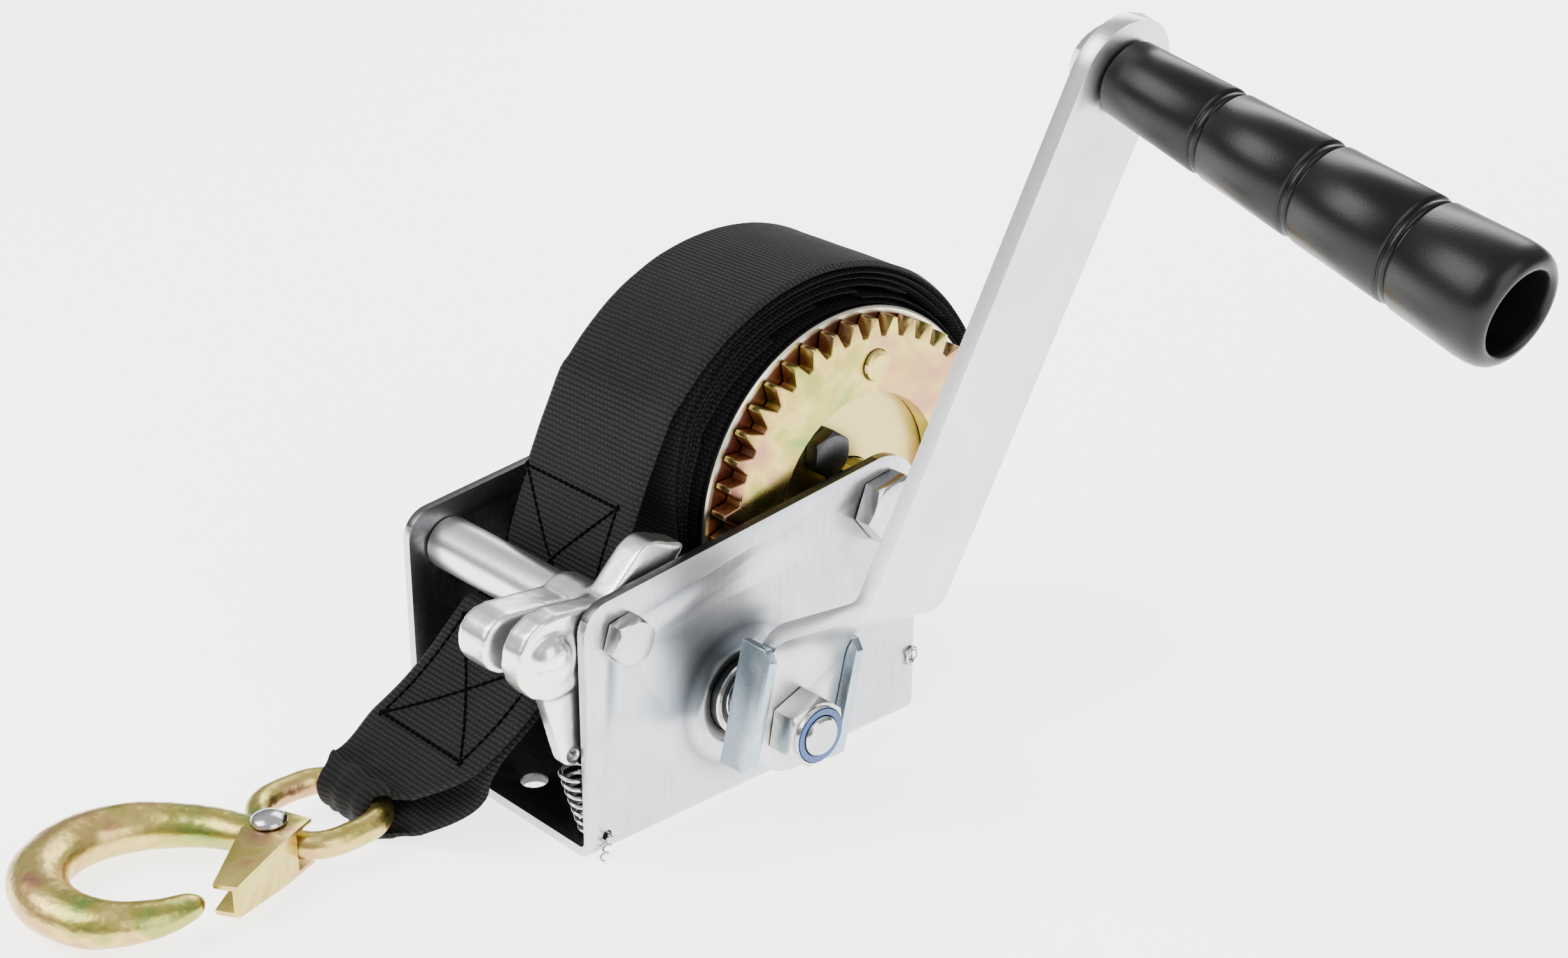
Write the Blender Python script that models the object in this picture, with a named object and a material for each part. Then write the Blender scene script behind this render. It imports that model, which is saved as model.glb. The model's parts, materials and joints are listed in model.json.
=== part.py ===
"""Boat trailer winch: folded steel frame, geared strap drum, cranked handle, two-way pawl and safety hook.

Metres, +Z up. The origin is the middle of the frame's underside, -Y is the side the strap leaves by
and +X is the crank's side. Everything that turns on a shaft turns about X.
"""

import math

import bmesh
import bpy
import numpy as np
from mathutils import Matrix, Vector

MM = 0.001

# --- Driving dimensions, in millimetres ------------------------------------------------------------
GAP = 0.3  # between faces that touch on the real winch
RUN = 0.3  # radial play of a shaft in its bore

FRAME_WIDTH = 84.0  # outside the side plates
FRAME_LENGTH = 127.0
FRAME_FRONT_HEIGHT = 79.0
PLATE = 3.0
BEND_RADIUS = 5.0
FRONT_CORNER = 9.0

PIVOT_FROM_FRONT = 13.6
PIVOT_HEIGHT = 66.5
AXLE_FROM_FRONT = 112.0
AXLE_HEIGHT = 75.7
AXLE_CORNER = 15.0  # radius of the plate's round corner about the axle
MESH_ANGLE = math.radians(37.5)  # the line from drum axle down to drive shaft

MODULE = 2.5
GEAR_TEETH = 42
PINION_TEETH = 14
GEAR_THICKNESS = 6.0
GEAR_OPENING = 31.7
PINION_WIDTH = 6.6
TOOTH_ADDENDUM = 0.86  # in modules, a little short
TOOTH_DEDENDUM = 1.25
TOOTH_THINNING = 0.8  # taken off each tooth's width, so that the pair runs free

STRAP_WIDTH = 50.0
STRAP_THICKNESS = 1.8
SIDE_PLAY = 0.4  # between strap and flange
FLANGE_RADIUS = 56.5
FLANGE_THICKNESS = 1.8
BARREL_RADIUS = 10.0
RIVET_CIRCLE = 40.5
RIVET_RADIUS = 4.0
RIVETS = 3
ANCHOR_CIRCLE = 18.8
ANCHOR_RADIUS = 3.9
ANCHOR_ANGLE = math.radians(124.0)
COIL_RADIUS = 59.5
COIL_BORE = 24.0
LOOSE_PLAY = 0.4  # between the coil and the loose outer turn
LOOSE_SWELL = 17.5  # how far that turn stands off the coil at the front

AXLE_RADIUS = 6.0
SHAFT_RADIUS = 6.0
PIVOT_RADIUS = 4.0
ANCHOR_FLATS = 13.0
LARGE_HEAD = 6.6
SMALL_HEAD = 5.2
LARGE_NUT = 9.5
SMALL_NUT = 6.5
ANCHOR_HEAD = 5.0
ANCHOR_NUT = 5.5

BEARING_RADIUS = 11.8
BEARING_WIDTH = 7.0
BOSS_RADIUS = 23.0
BOSS_RISE = 1.2

TUBE_RADIUS = 8.0
PAWL_HUB_RADIUS = 9.6
STRAP_CLEARANCE = 1.6  # between the strap and what it runs under
TUBE_WALL = 2.0
TUBE_END = 13.0  # where the pawl's hub takes over

YOKE_PLATE = 3.2
YOKE_FROM_PLATE = 14.5  # the gap between frame and yoke
YOKE_EAR = 9.0
YOKE_PLAY = 0.5  # between an ear and the crank's edge
CRANK_WIDTH = 30.0
CRANK_THICKNESS = 5.0
CRANK_ANGLE = math.radians(76.5)  # from +Y towards +Z
CRANK_LEAN = math.radians(13.3)  # how far the long arm leans away from the frame
CRANK_JOGGLE = 31.5  # how far the bend carries the arm outwards
CRANK_HUB_FLAT = 25.0  # from the shaft to the first bend
CRANK_BEND_RISE = 19.0  # from the first bend to the second, along the hub's direction
CRANK_ARM = 158.0  # from the second bend to the grip's bolt
CRANK_BEND = 12.0
CRANK_NUT = 10.6
NUT_LINING = 2.1  # thickness of the nylon ring
WASHER = 1.4
BUSH_PROUD = 1.2  # of the left bush past both faces of its plate

GRIP_LENGTH = 122.0
GRIP_START = 0.5  # from the arm's face to the sleeve
GRIP_MOUTH = 25.0  # depth of the open end
GRIP_BASE_RADIUS = 10.0
GRIP_END_RADIUS = 15.0
GRIP_BOLT_RADIUS = 5.0
GRIP_NUT = 6.5
GRIP_SEGMENTS = 4
GRIP_GROOVE = 0.9

PAWL_THICKNESS = 9.0
PAWL_FINGER = 13.0  # from the hub's left face to the front finger's right face
PAWL_TOOTH_ANGLE = math.radians(20)  # each of the two teeth from the line to the drive shaft
PAWL_TOOTH_GAP = 0.5  # from a tooth's tip to the pinion's tips at its closest
PAWL_TOOTH_TIP = 1.2
SPRING_WIRE = 0.7
SPRING_RADIUS = 3.6
SPRING_TURNS = 7

EYE_HALF_LENGTH = 15.0  # to the middle of the wire
EYE_HALF_WIDTH = 16.5
EYE_STEPS = 32
EYE_WIRE = 4.0
LOOP_WIDTH = 20.0  # of the strap where it is gathered in the eye
LOOP_PLAY = 2.2  # between the strap's loop and the eye's wire
HOOK_HEIGHT = 9.0  # of the hook's middle plane above the ground
EYE_SIDEWAYS = -19.0  # of the eye's centre from the frame's middle
EYE_FROM_FRONT = 49.0
RIVET_FROM_EYE = (5.0, -19.0)
LATCH_SHEET = 1.4
LATCH_HALF_HEIGHT = 5.7  # inside the folded sheet, at the rivet
LATCH_END_HALF = 3.2  # inside the folded sheet, at the hook's tip
LATCH_GAP = 0.5  # between the latch's end and the hook's tip
# The hook's middle line from the eye's centre, and its half-width at each point
HOOK_LINE = [(2.0, -13.5), (-3.0, -20.5), (-16.0, -28.5), (-28.0, -42.0), (-32.0, -57.5), (-25.0, -73.0),
             (-9.0, -79.0), (7.0, -74.5), (15.5, -62.5), (17.0, -52.5), (16.5, -47.5)]
HOOK_WIDTHS = [5.6, 5.8, 6.6, 7.8, 8.4, 8.6, 8.2, 7.4, 6.0, 4.4, 3.0]
HOOK_FLATTEN = 0.86

# --- Places worked out from them -------------------------------------------------------------------
HALF = FRAME_WIDTH / 2
INNER = HALF - PLATE
FRONT = -FRAME_LENGTH / 2
REAR = FRAME_LENGTH / 2
PIVOT = (FRONT + PIVOT_FROM_FRONT, PIVOT_HEIGHT)
AXLE = (FRONT + AXLE_FROM_FRONT, AXLE_HEIGHT)
CENTRES = MODULE * (GEAR_TEETH + PINION_TEETH) / 2
SHAFT = (AXLE[0] - CENTRES * math.cos(MESH_ANGLE), AXLE[1] - CENTRES * math.sin(MESH_ANGLE))
FLANGE_IN = STRAP_WIDTH / 2 + SIDE_PLAY
FLANGE_OUT = FLANGE_IN + FLANGE_THICKNESS
GEAR_IN = FLANGE_OUT + GAP
GEAR_OUT = GEAR_IN + GEAR_THICKNESS
AXLE_FLATS = 2 * AXLE_RADIUS + 7.0  # hexagons are a standard amount wider than their threads
SHAFT_FLATS = 2 * SHAFT_RADIUS + 7.0
PIVOT_FLATS = 2 * PIVOT_RADIUS + 5.0
PINION_TIP = MODULE * (PINION_TEETH / 2 + TOOTH_ADDENDUM)
EYE_CENTRE = (EYE_SIDEWAYS, FRONT - EYE_FROM_FRONT)
EYE_WIRE_END = (EYE_CENTRE[1] + EYE_HALF_LENGTH, HOOK_HEIGHT)  # where the strap is looped, in (y, z)
HOOK_RIVET = (EYE_CENTRE[0] + RIVET_FROM_EYE[0], EYE_CENTRE[1] + RIVET_FROM_EYE[1])
HOOK_TIP = (EYE_CENTRE[0] + HOOK_LINE[-1][0], EYE_CENTRE[1] + HOOK_LINE[-1][1])
BEARING_IN = HALF - 4.0
BEARING_OUT = BEARING_IN + BEARING_WIDTH
WASHER_IN = -HALF - BUSH_PROUD - GAP
YOKE_IN = HALF + YOKE_FROM_PLATE
CRANK_IN = YOKE_IN + YOKE_PLATE + GAP
CRANK_OUT = CRANK_IN + CRANK_THICKNESS
NUT_IN = CRANK_OUT + GAP
NUT_OUT = NUT_IN + CRANK_NUT
TAU = 2 * math.pi

MATERIALS = {
    "zinc": ((0.72, 0.73, 0.75), 0.32, 1.0),
    "cast_zinc": ((0.85, 0.85, 0.85), 0.42, 1.0),
    "yellow_zinc": ((0.80, 0.68, 0.38), 0.34, 1.0),
    "dark_steel": ((0.10, 0.10, 0.11), 0.45, 1.0),
    "webbing": ((0.015, 0.015, 0.016), 0.85, 0.0),
    "grip_plastic": ((0.012, 0.012, 0.013), 0.38, 0.0),
    "nylon": ((0.05, 0.16, 0.42), 0.45, 0.0),
}


# --- Making solids ---------------------------------------------------------------------------------
def clear_scene():
    for obj in list(bpy.data.objects):
        bpy.data.objects.remove(obj, do_unlink=True)


def material(name):
    found = bpy.data.materials.get(name)
    if found:
        return found
    colour, roughness, metallic = MATERIALS[name]
    made = bpy.data.materials.new(name)
    made.use_nodes = True
    shader = made.node_tree.nodes["Principled BSDF"]
    shader.inputs["Base Color"].default_value = (*colour, 1.0)
    shader.inputs["Roughness"].default_value = roughness
    shader.inputs["Metallic"].default_value = metallic
    return made


def add(name, bm, finish, smooth=False):
    """An object from a bmesh in millimetres."""
    bmesh.ops.recalc_face_normals(bm, faces=bm.faces)
    bmesh.ops.scale(bm, vec=(MM, MM, MM), verts=bm.verts)
    mesh = bpy.data.meshes.new(name)
    bm.to_mesh(mesh)
    bm.free()
    mesh.materials.append(material(finish))
    obj = bpy.data.objects.new(name, mesh)
    bpy.context.scene.collection.objects.link(obj)
    if smooth:
        mesh.shade_smooth()
        mesh.set_sharp_from_angle(angle=math.radians(40))
    return obj


def loft(rings, closed=False):
    """A closed body through rings of points that all have the same count."""
    bm = bmesh.new()
    made = [[bm.verts.new(p) for p in ring] for ring in rings]
    pairs = list(zip(made, made[1:]))
    if closed:
        pairs.append((made[-1], made[0]))
    for a, b in pairs:
        for i in range(len(a)):
            j = (i + 1) % len(a)
            bm.faces.new((a[i], a[j], b[j], b[i]))
    if not closed:
        bm.faces.new(made[0])
        bm.faces.new(list(reversed(made[-1])))
    return bm


def prism(outline, x0, x1):
    """An outline of (y, z) points carried along X from x0 to x1."""
    return loft([[(x, y, z) for y, z in outline] for x in (x0, x1)])


def turned(profile, centre, segments=28, bore=False):
    """A profile of (x, radius) points turned about the X line through centre = (y, z)."""
    y0, z0 = centre
    rings = []
    for x, radius in profile:
        angles = [TAU * i / segments for i in range(segments)]
        rings.append([(x, y0 + radius * math.cos(a), z0 + radius * math.sin(a)) for a in angles])
    return loft(rings, closed=bore)


def rod(x0, x1, radius, centre, segments=24, chamfer=0.0):
    if not chamfer:
        return turned([(x0, radius), (x1, radius)], centre, segments)
    small = radius - chamfer
    profile = [(x0, small), (x0 + chamfer, radius), (x1 - chamfer, radius), (x1, small)]
    return turned(profile, centre, segments)


def ring(x0, x1, radius, bore, centre, segments=28, chamfer=0.0):
    profile = [(x0, bore), (x0, radius - chamfer), (x0 + chamfer, radius)]
    profile += [(x1 - chamfer, radius), (x1, radius - chamfer), (x1, bore)]
    if not chamfer:
        profile = [(x0, bore), (x0, radius), (x1, radius), (x1, bore)]
    return turned(profile, centre, segments, bore=True)


def hexagon(flats, centre, turn=0.0):
    corner = flats / math.sqrt(3)
    angles = [turn + TAU * i / 6 for i in range(6)]
    return [(centre[0] + corner * math.cos(a), centre[1] + corner * math.sin(a)) for a in angles]


def arc(centre, radius, start, end, steps):
    angles = [start + (end - start) * i / steps for i in range(steps + 1)]
    return [(centre[0] + radius * math.cos(a), centre[1] + radius * math.sin(a)) for a in angles]


def hull(c1, r1, c2, r2, steps=8):
    """The outline of two circles and the band between them."""
    dy, dz = c2[0] - c1[0], c2[1] - c1[1]
    along = math.atan2(dz, dy)
    side = math.acos((r1 - r2) / math.hypot(dy, dz))
    far = arc(c2, r2, along - side, along + side, steps)
    return far + arc(c1, r1, along + side, along - side + TAU, steps)


def boolean(obj, other, operation="DIFFERENCE"):
    """Applies one Boolean and removes the tool."""
    modifier = obj.modifiers.new(operation.lower(), "BOOLEAN")
    modifier.operation = operation
    modifier.solver = "EXACT"
    modifier.object = other
    graph = bpy.context.evaluated_depsgraph_get()
    mesh = bpy.data.meshes.new_from_object(obj.evaluated_get(graph))
    obj.modifiers.clear()
    old, name = obj.data, obj.data.name
    obj.data = mesh
    bpy.data.meshes.remove(old)
    mesh.name = name
    bpy.data.objects.remove(other, do_unlink=True)


def cut(obj, bm):
    boolean(obj, add("cutter", bm, "zinc"))


def join(obj, bm):
    boolean(obj, add("joined", bm, "zinc"), "UNION")


def smooth(obj):
    obj.data.shade_smooth()
    obj.data.set_sharp_from_angle(angle=math.radians(35))


def post(x, y, radius, z0, z1, segments=16):
    """An upright round cutter."""
    circle = arc((x, y), radius, 0.0, TAU * (segments - 1) / segments, segments - 1)
    return loft([[(px, py, z) for px, py in circle] for z in (z0, z1)])


# --- Frame -----------------------------------------------------------------------------------------
def side_outline():
    """The side plate in (y, z): square at the bottom, rising to a round corner about the axle."""
    front = (FRONT + FRONT_CORNER, FRAME_FRONT_HEIGHT - FRONT_CORNER)
    reach = math.hypot(AXLE[0] - front[0], AXLE[1] - front[1])
    slope = math.atan2(AXLE[1] - front[1], AXLE[0] - front[0])
    normal = slope + math.pi / 2 + math.asin((AXLE_CORNER - FRONT_CORNER) / reach)
    outline = [(FRONT, -1.0)]
    outline += arc(front, FRONT_CORNER, math.pi, normal, 8)
    outline += arc(AXLE, AXLE_CORNER, normal, 0.0, 16)
    outline += [(REAR, -1.0)]
    return outline


def make_frame():
    """One folded channel: a floor and two side plates, with the bores and slots."""
    top = AXLE_HEIGHT + AXLE_CORNER + 5
    low, inside = BEND_RADIUS, BEND_RADIUS - PLATE
    section = [(-HALF, top)]
    section += arc((-HALF + low, low), low, math.pi, 1.5 * math.pi, 6)
    section += arc((HALF - low, low), low, 1.5 * math.pi, TAU, 6)
    section += [(HALF, top), (INNER, top)]
    section += arc((HALF - low, low), inside, TAU, 1.5 * math.pi, 6)
    section += arc((-HALF + low, low), inside, 1.5 * math.pi, math.pi, 6)
    section += [(-INNER, top)]
    ends = (FRONT - 5, REAR + 5)
    frame = add("base_frame", loft([[(x, y, z) for x, z in section] for y in ends]), "zinc")
    boolean(frame, add("sides", prism(side_outline(), -HALF - 5, HALF + 5), "zinc"), "INTERSECT")
    boss = [(HALF - 1, BOSS_RADIUS), (HALF, BOSS_RADIUS), (HALF + BOSS_RISE, BOSS_RADIUS - 4)]
    boss += [(HALF + BOSS_RISE, BEARING_RADIUS + 3)]
    boss += [(HALF - 1, BEARING_RADIUS + 3)]
    join(frame, turned(boss, SHAFT, 48))
    cut(frame, rod(INNER - 5, HALF + 5, BEARING_RADIUS + RUN, SHAFT, 24))
    cut(frame, rod(-HALF - 5, -INNER + 5, SHAFT_RADIUS + 2 + RUN, SHAFT, 24))
    cut(frame, rod(-HALF - 5, HALF + 5, AXLE_RADIUS + RUN, AXLE, 24))
    cut(frame, rod(-HALF - 5, HALF + 5, PIVOT_RADIUS + RUN, PIVOT, 28))
    for y in (FRONT + 12.5, REAR - 12.5):
        for x in (-25.0, 0.0, 25.0):
            cut(frame, post(x, y, 4.2, -5, PLATE + 5))
    cut(frame, rod(INNER - 1, HALF + 1, 1.6, (FRONT + 6.0, 6.5), 16))
    smooth(frame)


def make_hex_bolt(name, x_head, head, x_end, radius, flats, centre, finish="zinc", turn=0.0):
    """A bolt whose head is outside the +X side, with a chamfered face and a plain shank."""
    bolt = add(name, rod(x_end, x_head + 0.5, radius, centre, 24, 0.6), finish)
    cap = add("cap", prism(hexagon(flats, centre, turn), x_head, x_head + head), finish)
    outer = flats / math.sqrt(3)
    cone = [(x_head - 1, outer + 1), (x_head + head - 1.2, outer + 0.3), (x_head + head, flats / 2 - 0.4)]
    boolean(cap, add("cone", turned(cone, centre, 24), finish), "INTERSECT")
    boolean(bolt, cap, "UNION")
    smooth(bolt)
    return bolt


def make_nut(name, x0, x1, bore, flats, centre, finish="zinc", turn=0.0, collar=0.0):
    """A hexagon nut with its chamfered face at x1, and a round collar there if one is asked for."""
    side = 1 if x1 > x0 else -1
    top = x1 - side * collar
    nut = add(name, prism(hexagon(flats, centre, turn), min(x0, top), max(x0, top)), finish)
    outer = flats / math.sqrt(3)
    profile = [(x0 - side, outer + 1), (top - side * 1.3, outer + 0.3), (top, flats / 2 - 0.3)]
    boolean(nut, add("cone", turned(profile, centre, 24), finish), "INTERSECT")
    if collar:
        rim = [(top - side * 2, flats / 2 - 1), (x1 - side * 0.8, flats / 2 - 1), (x1, flats / 2 - 1.9)]
        join(nut, turned(rim, centre, 24))
    cut(nut, rod(min(x0, x1) - 2, max(x0, x1) + 2, bore, centre, 24))
    smooth(nut)
    return nut


def make_fixed_hardware():
    turn = math.radians(8)
    seat = HALF + GAP
    large_end, small_end = -seat - LARGE_NUT - 2.2, -seat - SMALL_NUT - 2.2
    make_hex_bolt("drum_axle_bolt", seat, LARGE_HEAD, large_end, AXLE_RADIUS, AXLE_FLATS, AXLE, turn=turn)
    make_nut("drum_axle_nut", -seat, -seat - LARGE_NUT, AXLE_RADIUS + RUN, AXLE_FLATS, AXLE)
    make_hex_bolt("pawl_bolt", seat, SMALL_HEAD, small_end, PIVOT_RADIUS, PIVOT_FLATS, PIVOT, turn=0.2)
    make_nut("pawl_nut", -seat, -seat - SMALL_NUT, PIVOT_RADIUS + RUN, PIVOT_FLATS, PIVOT)
    tube = ring(-INNER + GAP, TUBE_END, TUBE_RADIUS, TUBE_RADIUS - TUBE_WALL, PIVOT, 24)
    add("front_tube", tube, "cast_zinc", smooth=True)
    race = bearing(BEARING_IN, BEARING_OUT, BEARING_RADIUS)
    add("shaft_bearing_right", race, "zinc", smooth=True)
    bush = (-HALF - BUSH_PROUD, -INNER + BUSH_PROUD)
    left = ring(bush[0], bush[1], SHAFT_RADIUS + 2, SHAFT_RADIUS + RUN, SHAFT, 24, 0.4)
    add("shaft_bush_left", left, "dark_steel", smooth=True)


def bearing(x0, x1, radius):
    """A ball bearing's outer and inner races with a recessed shield, as one turned body."""
    bore, lip = SHAFT_RADIUS + RUN, 1.4
    face = [(x0, bore), (x0, radius), (x1 - 0.4, radius), (x1, radius - 0.4), (x1, radius - lip)]
    face += [(x1 - 0.8, radius - lip), (x1 - 0.8, bore + lip), (x1, bore + lip), (x1, bore)]
    return turned(face, SHAFT, 28, bore=True)


# --- Drum ------------------------------------------------------------------------------------------
def gear_outline(teeth, centre, phase):
    """Trapezoid teeth with a slightly short addendum, in (y, z)."""
    pitch = MODULE * teeth / 2
    root = pitch - TOOTH_DEDENDUM * MODULE
    tip = pitch + TOOTH_ADDENDUM * MODULE
    half = (math.pi * MODULE / 2 - TOOTH_THINNING) / 2
    flank = math.tan(math.radians(20))
    widths = [(root, half + (pitch - root) * flank), (pitch, half), (tip, half - (tip - pitch) * flank)]
    outline = []
    for k in range(teeth):
        middle = phase + TAU * k / teeth
        for radius, width in widths:
            outline.append((radius, middle - width / radius))
        for radius, width in reversed(widths):
            outline.append((radius, middle + width / radius))
    return [(centre[0] + r * math.cos(a), centre[1] + r * math.sin(a)) for r, a in outline]


def make_drum():
    reach = INNER - GAP
    barrel = ring(-reach, reach, BARREL_RADIUS, AXLE_RADIUS + RUN, AXLE, 24, 0.5)
    add("drum_barrel", barrel, "yellow_zinc", smooth=True)
    anchor = on_circle(ANCHOR_CIRCLE, ANCHOR_ANGLE)
    for name, x0 in (("drum_left_flange", -FLANGE_OUT), ("drum_right_flange", FLANGE_IN)):
        x1 = x0 + FLANGE_THICKNESS
        flange = ring(x0, x1, FLANGE_RADIUS, BARREL_RADIUS + RUN, AXLE, 56, 0.4)
        obj = add(name, flange, "yellow_zinc")
        cut(obj, rod(x0 - 1, x1 + 1, ANCHOR_RADIUS + RUN, anchor, 24))
        for k in range(RIVETS):
            if x0 > 0:
                cut(obj, rod(x0 - 1, x1 + 1, RIVET_RADIUS - 1, rivet_place(k), 20))
        smooth(obj)
    teeth = gear_outline(GEAR_TEETH, AXLE, gear_phase())
    gear = add("drum_gear", prism(teeth, GEAR_IN, GEAR_OUT), "yellow_zinc")
    cut(gear, rod(GEAR_IN - 1, GEAR_OUT + 1, GEAR_OPENING, AXLE, 48))
    for k in range(RIVETS):
        cut(gear, rod(GEAR_IN - 1, GEAR_OUT + 1, RIVET_RADIUS - 1, rivet_place(k), 20))
    smooth(gear)
    for k in range(RIVETS):
        shank = RIVET_RADIUS - 1 - RUN
        profile = [(FLANGE_IN + 0.1, shank), (GEAR_OUT + GAP, shank), (GEAR_OUT + GAP, RIVET_RADIUS + 1)]
        profile += [(GEAR_OUT + GAP + 0.7, RIVET_RADIUS + 0.6), (GEAR_OUT + GAP + 1.1, RIVET_RADIUS - 0.8)]
        add(f"drum_rivet_{k + 1}", turned(profile, rivet_place(k), 24), "yellow_zinc", smooth=True)
    seat = FLANGE_OUT + GAP
    make_hex_bolt("strap_anchor_bolt", seat, ANCHOR_HEAD, -seat - ANCHOR_NUT - 1.7, ANCHOR_RADIUS,
                  ANCHOR_FLATS, anchor, "dark_steel", 0.4)
    make_nut("strap_anchor_nut", -seat, -seat - ANCHOR_NUT, ANCHOR_RADIUS + RUN, ANCHOR_FLATS, anchor)
    coil = ring(-STRAP_WIDTH / 2, STRAP_WIDTH / 2, COIL_RADIUS, COIL_BORE, AXLE, 24)
    add("strap_coil", coil, "webbing")


def on_circle(radius, angle):
    return (AXLE[0] + radius * math.cos(angle), AXLE[1] + radius * math.sin(angle))


def rivet_place(k):
    return on_circle(RIVET_CIRCLE, math.radians(82.5) + TAU * k / RIVETS)


def gear_phase():
    """A tooth gap of the drum gear faces the drive shaft, where a pinion tooth stands."""
    towards = MESH_ANGLE + math.pi
    return towards + math.pi / GEAR_TEETH


# --- Crank -----------------------------------------------------------------------------------------
def crank_axes():
    """The directions along the crank's hub, across it and along its leaning arm."""
    along = Vector((0.0, math.cos(CRANK_ANGLE), math.sin(CRANK_ANGLE)))
    across = Vector((0.0, -math.sin(CRANK_ANGLE), math.cos(CRANK_ANGLE)))
    out = Vector((1.0, 0.0, 0.0))
    leaning = along * math.cos(CRANK_LEAN) + out * math.sin(CRANK_LEAN)
    normal = out * math.cos(CRANK_LEAN) - along * math.sin(CRANK_LEAN)
    return along, across, leaning, normal


def rounded_path(points, radius, steps=7):
    """Points of a 2-D path whose inner corners are replaced by arcs."""
    path = [Vector(points[0])]
    for a, b, c in zip(points, points[1:], points[2:]):
        a, b, c = Vector(a), Vector(b), Vector(c)
        u, v = (a - b).normalized(), (c - b).normalized()
        half = u.angle(v) / 2
        trim = radius / math.tan(half)
        centre = b + (u + v).normalized() * (radius / math.sin(half))
        start, end = b + u * trim - centre, b + v * trim - centre
        turn = start.angle_signed(end)
        for i in range(steps + 1):
            t = -turn * i / steps
            spin = Matrix.Rotation(t, 2)
            path.append(centre + spin @ start)
    path.append(Vector(points[-1]))
    return path


def crank_joint():
    """Where the arm's outer face starts leaning, and where the grip's bolt passes it."""
    along, across, leaning, normal = crank_axes()
    shaft = Vector((0.0, SHAFT[0], SHAFT[1]))
    rise = CRANK_HUB_FLAT + CRANK_BEND_RISE
    start = shaft + along * rise + Vector((CRANK_OUT + CRANK_JOGGLE, 0.0, 0.0))
    return start, start + leaning * CRANK_ARM


def make_strip(name, path, frame, width, thickness, end_radius, finish):
    """A flat bar bent along path = [(s, x)], with half-round ends. The path is its outer face."""
    origin, along, across = frame
    lengths = [0.0]
    for a, b in zip(path, path[1:]):
        lengths.append(lengths[-1] + (b - a).length)
    total = lengths[-1]
    tips = [0.25] + [end_radius * (1 - math.cos(math.pi / 2 * i / 9)) for i in range(1, 10)]
    stops = tips + [total - t for t in tips]
    stops += [s for s in lengths if end_radius < s < total - end_radius]
    rings = []
    for s in sorted({round(stop, 4) for stop in stops}):
        i = max(k for k in range(len(lengths) - 1) if lengths[k] <= s + 1e-9)
        a, b = path[i], path[i + 1]
        d = (b - a).normalized()
        at = a + d * (s - lengths[i])
        if 0 < i and abs(s - lengths[i]) < 1e-3:
            d = ((path[i] - path[i - 1]).normalized() + d).normalized()
        inward = Vector((d.y, -d.x))
        edge = min(s, total - s)
        half = width / 2
        if edge < end_radius:
            half = math.sqrt(max(end_radius**2 - (end_radius - edge) ** 2, 0.01)) * width / 2 / end_radius
        corners = []
        for depth, side in ((0, -1), (0, 1), (thickness, 1), (thickness, -1)):
            q = at + inward * depth
            corners.append(origin + along * q.x + Vector((q.y, 0, 0)) + across * (side * half))
        rings.append(corners)
    return add(name, loft(rings), finish)


def make_crank():
    along, across, _leaning, _normal = crank_axes()
    _start, hole = crank_joint()
    origin = Vector((0.0, SHAFT[0], SHAFT[1]))
    half = CRANK_WIDTH / 2
    rise = CRANK_HUB_FLAT + CRANK_BEND_RISE
    outward = CRANK_OUT + CRANK_JOGGLE
    beyond = CRANK_ARM + half
    corners = [(-half, CRANK_OUT), (CRANK_HUB_FLAT, CRANK_OUT), (rise, outward)]
    corners += [(rise + beyond * math.cos(CRANK_LEAN), outward + beyond * math.sin(CRANK_LEAN))]
    path = rounded_path(corners, CRANK_BEND)
    frame = (origin, along, across)
    crank = make_strip("crank_arm", path, frame, CRANK_WIDTH, CRANK_THICKNESS, half, "cast_zinc")
    cut(crank, rod(CRANK_IN - 4, CRANK_OUT + 4, SHAFT_RADIUS + RUN, SHAFT, 24))
    cut(crank, tilted(rod(-CRANK_THICKNESS - 4, 4, GRIP_BOLT_RADIUS + RUN, (0, 0), 28), hole))
    smooth(crank)
    make_yoke(origin, along, across)
    end = NUT_OUT + 0.8
    shaft = rod(-HALF - 7.5, end, SHAFT_RADIUS, SHAFT, 24, 0.9)
    add("drive_shaft", shaft, "zinc", smooth=True)
    bore = SHAFT_RADIUS + RUN
    pinion_end = GEAR_IN + PINION_WIDTH
    teeth = gear_outline(PINION_TEETH, SHAFT, MESH_ANGLE)
    pinion = add("pinion_gear", prism(teeth, GEAR_IN, pinion_end), "dark_steel")
    cut(pinion, rod(GEAR_IN - 4, pinion_end + 4, bore, SHAFT, 24))
    smooth(pinion)
    collar = ring(pinion_end + GAP, BEARING_IN - GAP, SHAFT_RADIUS + 3.0, bore, SHAFT, 24, 0.4)
    add("shaft_collar", collar, "zinc", smooth=True)
    outer = ring(BEARING_OUT + GAP, YOKE_IN - GAP, SHAFT_RADIUS + 2.5, bore, SHAFT, 24, 0.5)
    add("yoke_spacer", outer, "zinc", smooth=True)
    washer = ring(WASHER_IN - WASHER, WASHER_IN, SHAFT_RADIUS + 3.5, bore, SHAFT, 24)
    add("shaft_washer", washer, "zinc", smooth=True)
    make_shaft_ring()
    lining = SHAFT_RADIUS + NUT_LINING
    make_nut("crank_nut", NUT_IN, NUT_OUT, lining + RUN, SHAFT_FLATS, SHAFT, turn=0.35, collar=2.2)
    insert = ring(NUT_IN + 0.4, NUT_OUT - 0.5, lining, bore, SHAFT, 24)
    add("crank_nut_insert", insert, "nylon", smooth=True)


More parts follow.
